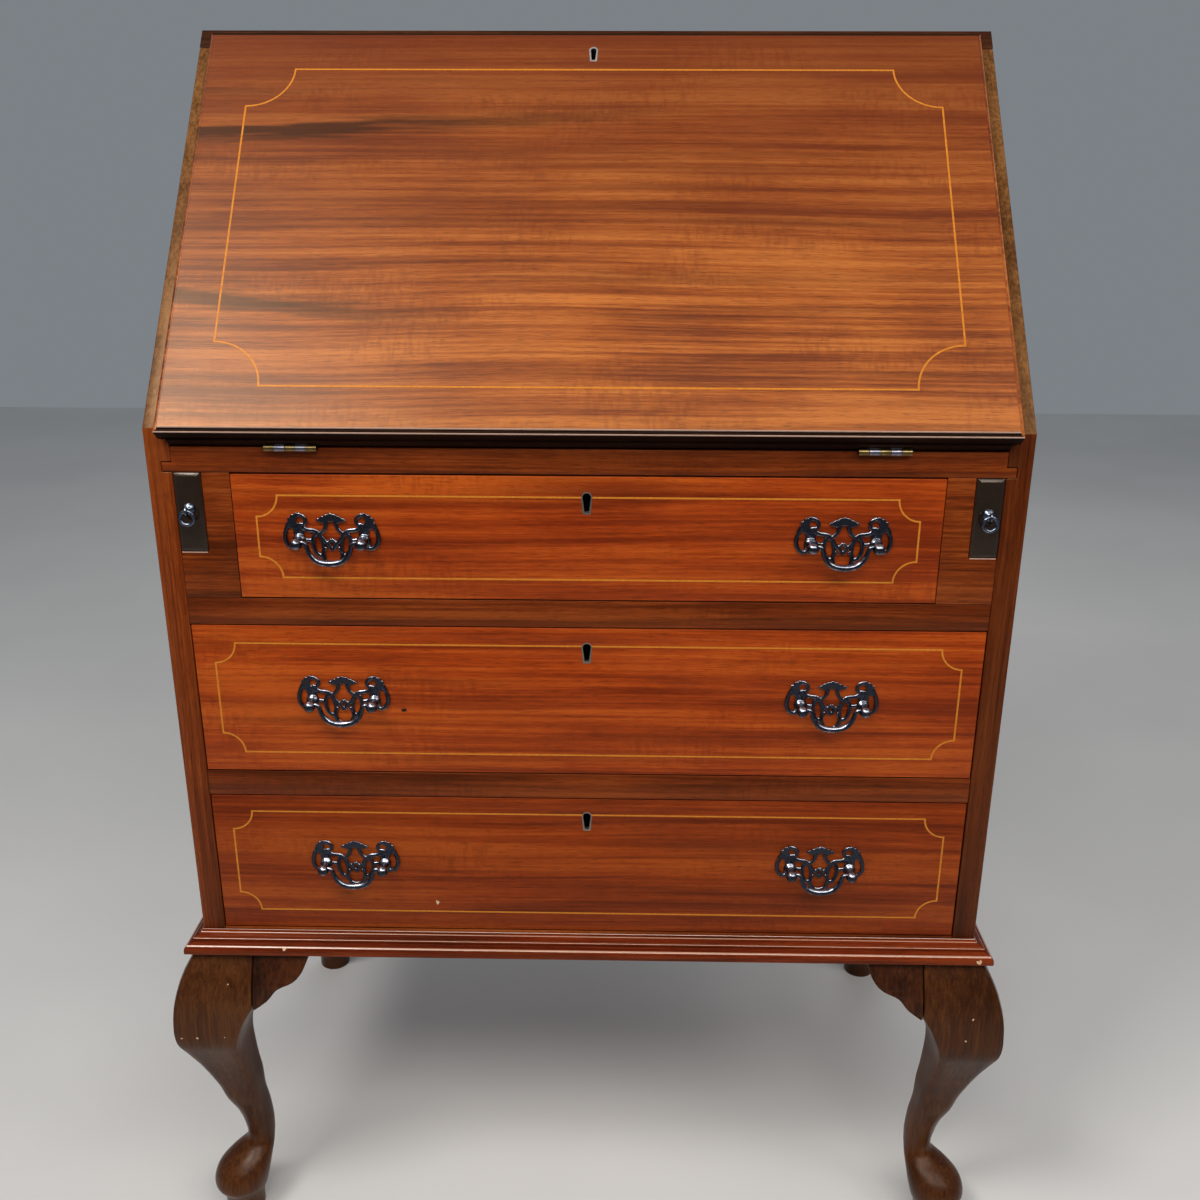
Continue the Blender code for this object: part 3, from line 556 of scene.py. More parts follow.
OAK = plain_wood("drawer_sides", "Y", (0.30, 0.17, 0.075), (0.46, 0.29, 0.14))
BACKING = plain_wood("back_boards", "Z", (0.22, 0.12, 0.055), (0.36, 0.21, 0.10), 3.0)
DARK_BRASS = antique_metal("antique_brass", (0.035, 0.037, 0.050), (0.50, 0.53, 0.62), 0.20)
PEWTER = antique_metal("pull_metal", (0.06, 0.08, 0.12), (0.50, 0.56, 0.68), 0.20)
BRASS = antique_metal("aged_brass", (0.12, 0.08, 0.03), (0.40, 0.30, 0.13), 0.26)
HINGE = antique_metal("hinge_steel", (0.12, 0.12, 0.16), (0.46, 0.46, 0.54), 0.26)
NICKEL = antique_metal("worn_rim", (0.62, 0.54, 0.48), (0.90, 0.84, 0.80), 0.30)
RIM = antique_metal("keyhole_rim", (0.24, 0.21, 0.18), (0.85, 0.80, 0.74), 0.30)
STEEL = antique_metal("lock_steel", (0.20, 0.20, 0.22), (0.46, 0.46, 0.48), 0.28)
BLACK = black_polish()
LINE = boxwood()
# Lighter colours for arrises and beads, as painted highlights
ARRIS_HIGHLIGHT = highlight_wood("painted_arris_highlight", (0.52, 0.34, 0.26), 0.3)
BEAD_HIGHLIGHT = highlight_wood("painted_bead_highlight", (0.46, 0.24, 0.16), 0.18)
KEYHOLE_PAINTED_SHADOW = Shader("keyhole_painted_shadow").finish((0.001, 0.001, 0.001), 1.0, specular=0.0)
LEATHER = leather()


# ---- carcase
def carcase():
    # The right side's tones are halved as painted shade
    for name, seed, depth in (("side_left", 11, 0.9), ("side_right", 12, 0.5)):
        material = wood(f"{name}_wood", "Z", scaled(DARK, depth), seed, 0.4, 0.1, 0.25)
        side = softened(name, material, "dark_mahogany", 0.0009, 3)
        edge = wood(f"{name}_edge_wood", "Z", EDGE, seed + 4, 0.3, 0.1, 0.1)
        repaint(side, edge, lambda face: face.normal.dot(OUTWARD) > 0.95)
    top = softened("top_board", wood("top_wood", "X", DARK, 13, streak=0.5), "mahogany", 0.0016, 3)
    # The top board's front edge is painted near black as shade
    repaint(top, wood("top_edge_painted_shade_wood", "X", EAR, 19, 0.3, 0.1, 0.2), lambda face: face.normal.y < -0.5)
    arris = 0.0004
    softened("writing_board", wood("board_wood", "X", BOARD, 14, 0.4, 0.2, 0.35), "mahogany", arris)
    softened("rail_upper", wood("rail_upper_wood", "X", BOARD, 15, streak=0.4), "dark_mahogany", arris)
    softened("rail_lower", wood("rail_lower_wood", "X", BOARD, 16, streak=0.4), "dark_mahogany", arris)
    softened("bottom_board", wood("bottom_wood", "X", DARK, 17), "dark_mahogany", arris)
    housing = wood("housing_wood", "X", DARK, 18, 0.3, 0.1, 0.2)
    for side in ("left", "right"):
        softened(f"loper_housing_{side}", housing, "dark_mahogany", 0.0003)
    softened("back_panel", BACKING, "drawer_lining", arris)


def moulding_profile():
    """(how far it stands out, height) round the base moulding, from the bottom of its back to the top."""
    low, top = CASE_BOTTOM, 0.3131
    out = 0.0144
    profile = [(GAP, low), (out - 0.0006, low)]
    profile += arc((out - 0.0006, low + 0.0006), 0.0006, -60, 0, 3)
    profile += arc((out - 0.0049, low + 0.0036), 0.0049, 0, 90, 10)
    profile += [(0.0082, low + 0.0085), (0.0080, low + 0.0088), (0.0080, low + 0.0100)]
    profile += arc((0.0068, low + 0.0112), 0.0013, -60, 110, 8)
    profile += [(0.0060, low + 0.0128), (0.0058, low + 0.0136)]
    profile += [(0.0036, low + 0.0146)]
    profile += arc((0.0036, low + 0.0172), 0.0026, 265, 190, 6)
    profile += [(0.0010, top - 0.0003), (0.0007, top), (GAP, top)]
    return profile


def base_mouldings():
    profile = moulding_profile()
    half = WIDTH / 2
    chips = [
        ((-0.2619, FRONT - 0.0135, 0.3022), 0.0017, CHIP),
        ((0.3369, FRONT - 0.0140, 0.2990), 0.0020, CHIP),
    ]
    grain = {"front": ("X", 21, chips), "left": ("Y", 22, ()), "right": ("Y", 23, ())}
    ends = [[(sign * (half + out - GAP), FRONT - out, z) for out, z in profile] for sign in (-1, 1)]
    pieces = {"front": loft(ends)}
    for name, sign in (("left", -1), ("right", 1)):
        mitre = [(sign * (half + out), FRONT - out + GAP, z) for out, z in profile]
        square = [(sign * (half + out), BACK, z) for out, z in profile]
        pieces[name] = loft([mitre, square])
    for name, bm in pieces.items():
        along, seed, marks = grain[name]
        material = wood(f"moulding_{name}_wood", along, MOULDING, seed, 0.4, 0.1, 0.3, (0.16, 0.24), marks)
        obj = smooth(new_object(f"moulding_{name}", bm), 35)
        dress(obj, material, "carcase", "mahogany", f"base_moulding_{name}")
        # Beads that face up and forward get a lighter colour as a painted highlight
        repaint(obj, BEAD_HIGHLIGHT, lambda face: 0.70 < face.normal.z < 0.86)


# ---- legs
LEG_SUM = 0.335  # x + distance behind the case front, on the leg's diagonal
LEG_SIDES = 64
EAR_DEPTH = 0.024
SEAM = 0.2906  # where the ears are glued to the leg
# The knee block: height, outer corner x, how far the ears reach in
EAR_STATIONS = [
    (0.2952, 0.3433, 0.2430),
    (0.2890, 0.3463, 0.2440),
    (0.2800, 0.3513, 0.2475),
    (0.2720, 0.3548, 0.2550),
    (0.2655, 0.3571, 0.2690),
    (0.2560, 0.3598, 0.2775),
    (0.2480, 0.3616, 0.2885),
]
# Down the leg: height, outer corner x, width of the section, squareness from 0 (round) to 1
LEG_STATIONS = [(z, outer, outer - SEAM, 1.0) for z, outer, _ in EAR_STATIONS] + [
    (0.2400, 0.3627, 0.0675, 1.0),
    (0.2320, 0.3632, 0.0635, 1.0),
    (0.2200, 0.3634, 0.0592, 1.0),
    (0.2080, 0.3616, 0.0540, 1.0),
    (0.1950, 0.3562, 0.0474, 0.95),
    (0.1780, 0.3493, 0.0411, 0.85),
    (0.1600, 0.3434, 0.0366, 0.70),
    (0.1440, 0.3392, 0.0345, 0.50),
    (0.1260, 0.3360, 0.0328, 0.30),
    (0.1080, 0.3305, 0.0300, 0.15),
    (0.0900, 0.3268, 0.0276, 0.0),
    (0.0760, 0.3248, 0.0252, 0.0),
    (0.0680, 0.3262, 0.0260, 0.0),
    (0.0620, 0.3328, 0.0325, 0.0),
    (0.0560, 0.3412, 0.0404, 0.0),
    (0.0480, 0.3498, 0.0480, 0.0),
    (0.0400, 0.3536, 0.0505, 0.0),
    (0.0320, 0.3540, 0.0490, 0.0),
    (0.0260, 0.3512, 0.0445, 0.0),
    (0.0210, 0.3475, 0.0385, 0.0),
    (0.0120, 0.3462, 0.0354, 0.0),
    (0.0008, 0.3460, 0.0350, 0.0),
    (0.0000, 0.3453, 0.0336, 0.0),
]
LEFT_MARKS = [
    ((-0.3119, -0.2150, 0.2699), 0.0008, CHIP),
    ((-0.2988, -0.2130, 0.2794), 0.0009, CHIP),
    ((-0.3552, -0.2225, 0.2185), 0.0010, CHIP),
    ((-0.3410, -0.2225, 0.2188), 0.0012, CHIP),
    ((-0.3169, -0.2225, 0.2203), 0.0010, CHIP),
]
RIGHT_MARKS = [
    ((0.3196, -0.2210, 0.2436), 0.0008, CHIP),
    ((0.3337, -0.2210, 0.2491), 0.0009, CHIP),
    ((0.3290, -0.2230, 0.2280), 0.0009, CHIP),
]


# Which leg, its way out from the middle in x and in y, and its chips
LEGS = (
    ("front_left", -1, 1, LEFT_MARKS), ("front_right", 1, 1, RIGHT_MARKS),
    ("rear_left", -1, -1, ()), ("rear_right", 1, -1, ()),
)


def leg_section(outer, width, squareness):
    """Points about the leg's diagonal, between a circle and a square with rounded corners."""
    radius = width / 2
    middle = (outer - radius, LEG_SUM - outer + radius)
    power = 2 + 12 * max(0.0, squareness) ** 2
    points = []
    for i in range(LEG_SIDES):
        turn = 2 * math.pi * i / LEG_SIDES
        reach = radius / (abs(math.cos(turn)) ** power + abs(math.sin(turn)) ** power) ** (1 / power)
        points.append((middle[0] + reach * math.cos(turn), middle[1] + reach * math.sin(turn)))
    return points


def ear_sections():
    """Cross-sections of the ear along the front, from the top down to where it runs out."""
    sections = []
    for z, outer, reach in curve_points(EAR_STATIONS, 4):
        front = LEG_SUM - outer
        inner = min(reach, SEAM - 0.002)
        sections.append((z, rectangle((SEAM - GAP, inner), (front, front + EAR_DEPTH))))
    return sections


def legs():
    stations = curve_points(LEG_STATIONS, 4)
    post = [(z, leg_section(outer, width, square)) for z, outer, width, square in stations]
    front_ear = ear_sections()
    side_ear = [(z, [(LEG_SUM - b, LEG_SUM - x) for x, b in section]) for z, section in front_ear]
    kinds = (("post", post, LEG, 30), ("front_ear", front_ear, EAR, 40), ("side_ear", side_ear, EAR, 50))
    for number, (name, sign_x, sign_y, marks) in enumerate(LEGS):
        for kind, sections, tones, seed in kinds:
            rings = [
                [(sign_x * x, sign_y * (FRONT + b), max(0.0, z)) for x, b in section]
                for z, section in sections
            ]
            obj = new_object(f"leg_{name}_{kind}", loft(rings))
            material = wood(
                f"{obj.name}_wood", "Z", tones, seed + number, 0.4, 0.1, 0.1, (0.26, 0.34),
                marks if kind == "post" else (), gloss=0.20, tint=(1.0, 0.88, 0.76), pores=0.12,
            )
            if kind == "post":
                dress(smooth(obj, 40), material, "carcase", "dark_mahogany", f"leg_{name}")
            else:
                bevel(obj, 0.0007)
                dress(smooth(obj, 35), material, "carcase", "dark_mahogany")


# ---- fall front
def lip_ring(share, offset):
    """A ring drawn in from the lip's edge, a little more below and above than at the sides."""
    return (offset, LIP_HALF - 0.0033 * share, LIP_BOTTOM + 0.0040 * share, LIP_TOP - 0.0037 * share)


def fall_skin():
    """The fall from its inner face out, as rings: offset, half width, low end and high end up the slope."""
    inner_half = WIDTH / 2 - 0.019 - GAP
    rings = [
        (FALL_INNER, inner_half, FALL_BOTTOM, FALL_TOP),
        (GAP, inner_half, FALL_BOTTOM, FALL_TOP),
        (GAP, LIP_HALF, LIP_BOTTOM, LIP_TOP),
        (0.0102, LIP_HALF, LIP_BOTTOM, LIP_TOP),
    ]
    # The lip's hollow, from its rounded arris in to the edge of the face
    for share, offset in (
        (0.02, 0.0109), (0.10, 0.0113), (0.2, 0.0110), (0.4, 0.0107), (0.6, 0.0107),
        (0.75, 0.0110), (0.84, 0.0116), (0.88, FALL_OUTER - 0.0004), (1.0, FALL_OUTER),
    ):
        rings.append(lip_ring(share, offset))
    return loft([
        [slope_point(x, s, offset) for x, s in rectangle((-half, half), (low, high))]
        for offset, half, low, high in rings
    ])


def lip_part(polygon):
    """Sorts a face of the fall: the lip's near-black bands (a dark stain with painted shadow), its lower
    arris (a painted highlight), or neither.
    """
    away = polygon.center - KNEE
    out, up = away.dot(OUTWARD), away.dot(SLOPE)
    below = up < LIP_BOTTOM + 0.0042
    if out > FALL_OUTER - 0.0001 or out < FALL_INNER + 0.0001 or not (below or up > LIP_TOP - 0.0040):
        return None
    arris = out > 0.0117 or out > 0.0104 and up < LIP_BOTTOM + 0.0007
    return "painted_highlight" if arris and below else "dark"


def keyhole(radius, half, length):
    """A keyhole's outline about the centre of its round end."""
    corner = 0.0006
    points = arc((0, 0), radius, -18, 198, 20)
    points += arc((-half + corner, -length + corner), corner, 180, 270, 3)
    points += arc((half - corner, -length + corner), corner, 270, 360, 3)
    return points


FALL_KEY_S = 0.3440
FALL_PAINTED_SHADE = (0.84, 1.05, (0.105, 0.016, 0.003), 0.80)  # painted shade: the fall's tones darken towards the top
FALL_NICK = [((-0.1847, -0.1229, 0.8817), 0.0020, (0.30, 0.22, 0.18))]
# Dark streaks from the left: start (x, z), reach, half width, slant, strength
FALL_STREAKS = [
    ((-0.330, 0.9650), 0.42, 0.0080, 0.045, 0.88),
    ((-0.330, 0.8472), 0.24, 0.0090, -0.075, 0.78),
    ((-0.325, 0.9985), 0.15, 0.0040, 0.02, 0.35),
    ((-0.325, 0.9470), 0.13, 0.0035, -0.02, 0.30),
]
LEATHER_HALF = 0.262
LEATHER_LOW, LEATHER_HIGH = 0.034, 0.300
BEHIND = -0.02  # cutters start this far behind the fall's inner face
PIN_RADIUS = 0.0031
BOLT_HALF = 0.0085


def fall():
    obj = new_object("fall_board", fall_skin())
    leather_bed = (BEHIND, FALL_INNER + 0.0015)
    cut(obj, slope_box((-LEATHER_HALF, LEATHER_HALF), (LEATHER_LOW, LEATHER_HIGH), leather_bed))
    pivot = JOINTS["fall_hinge"]["pos_m"]
    for side in ("left", "right"):
        low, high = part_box(f"fall_hinge_leaf_{side}")
        leaf_bed = (BEHIND, FALL_INNER + 0.0019)
        cut(obj, slope_box((low.x - GAP, high.x + GAP), (BEHIND, 0.0057), leaf_bed))
        pin = [(-GAP, PIN_RADIUS), (high.x - low.x + GAP, PIN_RADIUS)]
        cut(obj, turned(pin, (low.x, pivot[1], pivot[2]), (1, 0, 0), 24))
    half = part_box("fall_lock")[1].x + GAP
    cut(obj, slope_box((-half, half), (FALL_TOP - 0.0383, 0.352), (BEHIND, FALL_INNER + 0.0108)))
    bolt_room = (FALL_INNER + 0.0007, FALL_INNER + 0.0049)
    cut(obj, slope_box((-BOLT_HALF, BOLT_HALF), (FALL_TOP - 0.037, FALL_TOP + 0.002), bolt_room))
    hole = [slope_point(x, FALL_KEY_S + z, 0) for x, z in keyhole(0.0033, 0.0025, 0.0106)]
    cut(obj, loft([[p + OUTWARD * o for p in hole] for o in (0.002, 0.02)]))
    smooth(obj, 35)
    material = wood(
        "fall_wood", "X", FALL, 1, 0.6, 0.28, 0.45, (0.30, 0.38), FALL_NICK, FALL_STREAKS,
        gloss=0.40, tint=(1.0, 0.80, 0.58), shade=FALL_PAINTED_SHADE,
    )
    dress(obj, material, "fall", "mahogany", "fall_front")
    # The lip's upper and lower bands are a dark stain taken down to near black as painted shadow
    lip = wood("lip_stain_and_painted_shadow", "X", LIP_STAIN_AND_SHADOW, 2, 0.3, 0.0, 0.2, (0.40, 0.50), gloss=0.08)
    repaint(obj, lip, lambda face: lip_part(face) == "dark")
    # The lip's lower arris gets a lighter colour as a painted highlight
    repaint(obj, ARRIS_HIGHLIGHT, lambda face: lip_part(face) == "painted_highlight")

    span = (GAP - LEATHER_HALF, LEATHER_HALF - GAP)
    skin = slope_box(span, (LEATHER_LOW + GAP, LEATHER_HIGH - GAP), (FALL_INNER, FALL_INNER + 0.0012))
    inset = bevel(new_object("fall_leather_inset", skin), 0.0004)
    dress(smooth(inset), LEATHER, "fall", "leather", "fall_leather")


# ---- keyholes
DRAWER_KEY_DOWN = 0.0162  # centre of the keyhole's round end below the drawer's top edge
DRAWER_RIM = (0.0043, 0.0031, 0.0134)


def drawer_face(x, z, out):
    return (x, FRONT - out, z)


def fall_face(x, s, out):
    return slope_point(x, s, FALL_OUTER + out)


def drawer_key_z(number):
    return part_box(f"drawer_{number}_front")[1].z - DRAWER_KEY_DOWN


def drawer_keyhole(number, shape, depth):
    """A cutter through the face of a drawer front."""
    level = drawer_key_z(number)
    return loft([[drawer_face(x, level + z, out) for x, z in keyhole(*shape)] for out in (0.01, -depth)])


def keyhole_rim(name, place, outer, inner, depth, material, body):
    """A keyhole-shaped band let in almost flush, with a black plug inside as painted shadow. place(x, z, out)
    is on the face.
    """
    rings = []
    proud = 0.00012
    for shape, out in ((outer, -depth), (outer, 0.00002), (outer, proud), (inner, proud), (inner, -depth)):
        narrowed = 0.98 if shape is outer and out > 0.0001 else 1.0
        rings.append([place(x * narrowed, z, out) for x, z in keyhole(*shape)])
    dress(smooth(new_object(name, band(rings)), 40), material, body, "brass")
    # A black plug at the back of the hole, as painted shadow
    dark = loft([[place(x, z, out) for x, z in keyhole(*inner)] for out in (-depth, 0.0002 - depth)])
    dress(new_object(f"{name}_dark", dark), KEYHOLE_PAINTED_SHADOW, body, "steel")


def escutcheons():
    keyhole_rim(
        "fall_keyhole_rim", lambda x, z, out: fall_face(x, FALL_KEY_S + z, out),
        (0.0038, 0.0029, 0.0112), (0.0024, 0.0016, 0.0097), 0.0022, NICKEL, "fall",
    )
    for number in (1, 2, 3):
        level = drawer_key_z(number)
        keyhole_rim(
            f"drawer_{number}_keyhole_rim", lambda x, z, out, level=level: drawer_face(x, level + z, out),
            DRAWER_RIM, (0.0033, 0.0019, 0.0118), 0.0040, RIM, f"drawer_{number}",
        )


# ---- stringing
LINE_HALF = 0.0007
LINE_DEPTH = 0.0008
SCOOP_STEPS = 14
# Each drawer's line, in from the front's sides, top and bottom
LINE_MARGINS = {1: (0.0175, 0.0163, 0.0166), 2: (0.0164, 0.0151, 0.0167), 3: (0.0161, 0.0148, 0.0172)}


def stringing(name, place, half, top, bottom, radius, body, hole=None):
    """A line inlaid round a panel, with corners scooped inwards. place(x, z, out) is on the face."""
    middle = arc((half, top), radius, 180, 270, SCOOP_STEPS)
    middle += arc((half, bottom), radius, 90, 180, SCOOP_STEPS)
    middle += arc((-half, bottom), radius, 0, 90, SCOOP_STEPS)
    middle += arc((-half, top), radius, 270, 360, SCOOP_STEPS)
    edges = ([], [])
    for i, (x, z) in enumerate(middle):
        before, after = middle[i - 1], middle[(i + 1) % len(middle)]
        along = (Vector(after) - Vector(before)).normalized()
        across = Vector((-along.y, along.x))
        if i % (SCOOP_STEPS + 1) in (0, SCOOP_STEPS):
            # The line turns a right angle here, so its edges meet on the diagonal
            arm = (Vector((x, z)) - Vector(before)).normalized()
            leg = (Vector(after) - Vector((x, z))).normalized()
            across = (Vector((-arm.y, arm.x)) + Vector((-leg.y, leg.x))).normalized()
            across /= max(0.5, across.dot(Vector((-arm.y, arm.x))))
        for side, sign in zip(edges, (1, -1)):
            side.append(Vector((x, z)) + across * LINE_HALF * sign)
    left, right = edges
    proud = 0.00006
    sides = ((left, -LINE_DEPTH), (left, proud), (right, proud), (right, -LINE_DEPTH))
    line = new_object(name, band([[place(*point, out) for point in points] for points, out in sides]))
    if hole is not None:
        cut(line, hole)
    dress(smooth(line, 30), LINE, body, "mahogany")


def stringing_lines():
    for number, (side, top, bottom) in LINE_MARGINS.items():
        low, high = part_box(f"drawer_{number}_front")
        stringing(
            f"drawer_{number}_stringing", drawer_face, high.x - side, high.z - top, low.z + bottom, 0.0170,
            f"drawer_{number}", drawer_keyhole(number, DRAWER_RIM, 0.01),
        )
    stringing("fall_stringing", fall_face, 0.2839, 0.3243, 0.0296, 0.0375, "fall")


# ---- drawers
DRAWER_MARKS = {2: [((-0.1487, FRONT, 0.5238), 0.0017, KNOT)], 3: [((-0.1286, FRONT, 0.3426), 0.0017, CHIP)]}


def drawers():
    for number in (1, 2, 3):
        front = clean_copy(f"drawer_{number}_front")
        cut(front, drawer_keyhole(number, (0.0040, 0.0026, 0.0132), 0.014))
        bevel(front, 0.0007, 3)
        marks = DRAWER_MARKS.get(number, ())
        # The bottom drawer's front takes the same tones darkened, as painted shade
        tones = RED if number < 3 else scaled(RED, 0.72)
        face = wood(f"drawer_{number}_wood", "X", tones, number + 1.5, 0.6, 0.3, 0.5, (0.26, 0.36), marks)
        dress(smooth(front, 50), face, f"drawer_{number}", "mahogany", f"drawer_{number}_front")
        softened(f"drawer_{number}_box", OAK, "drawer_lining", 0.0008)
        softened(f"drawer_{number}_lock", STEEL, "steel", 0.0004)
        softened(f"drawer_{number}_bolt", BRASS, "brass", 0.0003)
    softened("fall_lock", STEEL, "steel", 0.0004)
    softened("fall_bolt", BRASS, "brass", 0.0003)


# ---- handles
MM = 0.001
POST_X = 0.025
POST_OUT = 0.0138
BALL_R = 0.0047
BALL_DROP = 0.0014
PLATE_LIFT = 1.6  # millimetres the pierced plate sits above the posts
BAR_SWELL = 1.38  # the bars as cast are this much wider than their half widths below
BAR_DEPTH = 0.80
# Bars of the pierced plate's right half, in millimetres from the handle's centre: points, then half width
PLATE_BARS = [
    ([(3.6, 11.5), (3.8, 9.5), (5.2, 5.8), (8.6, 2.4), (10.6, 0.6)], 1.15),
    ([(10.4, 3.2), (13.0, 4.6), (16.5, 5.0), (19.5, 5.6), (22.5, 7.4), (25.0, 8.8)], 1.25),
    ([(10.4, 3.2), (8.4, 0.2), (6.2, -3.0), (3.0, -6.6), (0.0, -10.8)], 1.15),
    ([(10.8, 2.6), (13.4, 0.6), (14.8, -4.0), (14.2, -9.6), (11.4, -14.4), (7.8, -15.8)], 1.25),
    ([(9.4, 1.4), (7.6, -4.6), (7.0, -10.0), (8.0, -15.2)], 0.95),
    ([(4.2, -6.4), (0.0, -2.2)], 1.0),
    ([(6.4, -10.4), (7.4, -13.4), (7.0, -18.0), (4.2, -21.8), (0.0, -23.2)], 1.25),
    ([(4.6, -9.0), (6.6, -11.0)], 1.1),
    ([(25.0, 8.4), (23.6, 9.6), (21.4, 9.4), (19.9, 11.0), (19.7, 13.6), (21.6, 16.2), (24.6, 17.6)], 1.15),
    ([(32.4, 11.0), (34.6, 6.0), (36.0, 1.0), (35.8, -4.0), (33.6, -8.0), (30.0, -9.6), (26.6, -8.6)], 1.25),
    ([(26.0, 8.0), (25.4, 4.0), (25.0, 0.0)], 3.0),
    ([(14.8, -3.4), (18.0, -3.0), (21.5, -2.4)], 1.1),
    ([(25.0, 0.0), (25.8, -4.0), (27.6, -8.0)], 2.4),
]
# Filled forms of the right half: the crest and the scroll head
CREST = [
    (0, 18.8), (2.6, 17.6), (3.6, 17.9), (5.8, 16.2), (6.8, 16.4), (9.0, 14.6), (10.0, 14.7), (12.2, 12.9),
    (9.8, 12.2), (7.4, 11.0), (5.2, 10.8), (2.6, 11.8), (0, 12.0),
]
HEAD = [
    (24.0, 8.2), (26.6, 11.4), (26.4, 14.6), (23.8, 16.4), (22.0, 15.8), (23.6, 18.0), (26.4, 19.2),
    (28.2, 17.6), (30.2, 17.6), (31.4, 15.4), (33.4, 14.6), (33.2, 12.2), (34.4, 10.4), (33.4, 7.6),
    (30.0, 6.0), (26.4, 5.6),
]
# The bail's right half as it hangs, from its pin to its middle: x, z and radius in millimetres
BAIL_ARM = [
    (22.0, 0.0, 1.3), (20.8, 0.0, 1.5), (19.6, -0.3, 1.8), (18.4, -1.2, 1.9), (17.3, -3.0, 1.85),
    (16.6, -5.4, 1.85), (15.6, -8.0, 1.95), (14.0, -11.0, 2.1), (11.4, -13.8, 2.3), (8.0, -15.7, 2.45),
    (4.0, -16.7, 2.55), (0.0, -17.0, 2.6),
]


def plate_mesh():
    """The cast plate with its posts, at the origin facing -Y: bars and forms fused and softened."""
    middle = -GAP - 0.0010
    form_half = 0.0008
    parts = []
    for points, half in PLATE_BARS:
        for sign in (-1, 1):
            line = curve_points([(sign * x * MM, middle, (z + PLATE_LIFT) * MM) for x, z in points], 5)
            parts.append(tube(line, [BAR_SWELL * half * MM] * len(line), 12, BAR_DEPTH / half))
    for points in (CREST, HEAD):
        for sign in (-1, 1):
            outline = [(sign * x * MM, (z + PLATE_LIFT) * MM) for x, z in points]
            parts.append(loft([[(x, middle + y, z) for x, z in outline] for y in (-form_half, form_half)]))
    for sign in (-1, 1):
        base = (sign * POST_X, 0, -BALL_DROP)
        profile = [(GAP, 0.0052), (0.0026, 0.0052), (0.0036, 0.0044), (0.0046, 0.0034), (0.0070, 0.0031)]
        profile += [(0.0090, 0.0033)]
        for degrees in range(-45, 91, 15):
            turn = math.radians(degrees)
            profile.append((POST_OUT + BALL_R * math.sin(turn), max(0.0002, BALL_R * math.cos(turn))))
        parts.append(turned(profile, base, (0, -1, 0), 24))
    obj = new_object("plate_pattern", merged(parts))
    remesh = obj.modifiers.new("fuse", "REMESH")
    remesh.mode = "VOXEL"
    remesh.voxel_size = 0.00032
    soften = obj.modifiers.new("soften", "SMOOTH")
    soften.factor = 0.5
    soften.iterations = 3
    apply_modifiers(obj)
    mesh = obj.data
    bpy.data.objects.remove(obj)
    for vertex in mesh.vertices:
        # Its back is flat against the drawer
        vertex.co.y = min(vertex.co.y, -GAP)
    mesh.shade_smooth()
    return mesh


def bail_mesh():
    """The swan-neck bail as it hangs, thicker in the middle, with its pins along X through the origin."""
    fine = curve_points(BAIL_ARM + [(-x, z, r) for x, z, r in reversed(BAIL_ARM[:-1])], 5)
    bm = tube([(x * MM, 0, z * MM) for x, z, _ in fine], [r * MM for _, _, r in fine], 16)
    mesh = bpy.data.meshes.new("bail_pattern")
    bm.to_mesh(mesh)
    bm.free()
    mesh.shade_smooth()
    return mesh


def handles():
    plate = plate_mesh()
    bail = bail_mesh()
    for number in (1, 2, 3):
        for side in ("left", "right"):
            pivot = Vector(JOINTS[f"drawer_{number}_bail_{side}_swing"]["pos_m"])
            for kind, mesh, place, body in (
                ("plate", plate, Vector((pivot.x, FRONT, pivot.z)), f"drawer_{number}"),
                ("bail", bail, pivot, f"drawer_{number}_bail_{side}"),
            ):
                obj = bpy.data.objects.new(f"handle_{number}_{side}_{kind}", mesh.copy())
                obj.data.transform(Matrix.Translation(place))
                bpy.context.scene.collection.objects.link(obj)
                dress(obj, DARK_BRASS, body, "dark_brass", f"drawer_{number}_{kind}_{side}")


# ---- lopers
CHAMFER, CHAMFER_BACK = 0.0027, 0.0018
FACE_DEPTH = 0.012  # the black of a loper's front runs this far back
RING_RADIUS = 0.0054
EYE_RADIUS = 0.0021
STEM = [
    (GAP, 0.0001), (GAP, 0.0047), (0.0012, 0.0048), (0.0022, 0.0041), (0.0030, 0.0031), (0.0036, 0.0024),
    (0.0044, 0.0021), (0.0050, 0.0027), (0.0056, 0.0021),
]


def lopers():
    side_wood = wood("loper_wood", "Y", DARK, 41)
    for side in ("left", "right"):
        node = f"loper_{side}"
        low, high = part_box(node)
        rings = []
        for y, inset in ((low.y, CHAMFER), (low.y + CHAMFER_BACK, 0.0), (high.y, 0.0)):
            corners = rectangle((low.x + inset, high.x - inset), (low.z + inset, high.z - inset))
            rings.append([(x, y, z) for x, z in corners])
        obj = bevel(new_object(f"loper_bar_{side}", loft(rings)), 0.0003, 2, 20)
        dress(smooth(obj, 25), BLACK, node, "ebonised", node)
        repaint(obj, side_wood, lambda face: face.center.y > low.y + FACE_DEPTH)
        # A painted highlight on the rail's edge just below the loper
        across, upright = (low.x + 0.0005, high.x - 0.0005), (low.z - 0.0013, low.z - 0.0006)
        sill = box(across, (FRONT - 0.00012, FRONT + 0.0004), upright)
        dress(new_object(f"loper_sill_{side}", sill), ARRIS_HIGHLIGHT, "carcase", "dark_mahogany")
        pull(side, low.y)


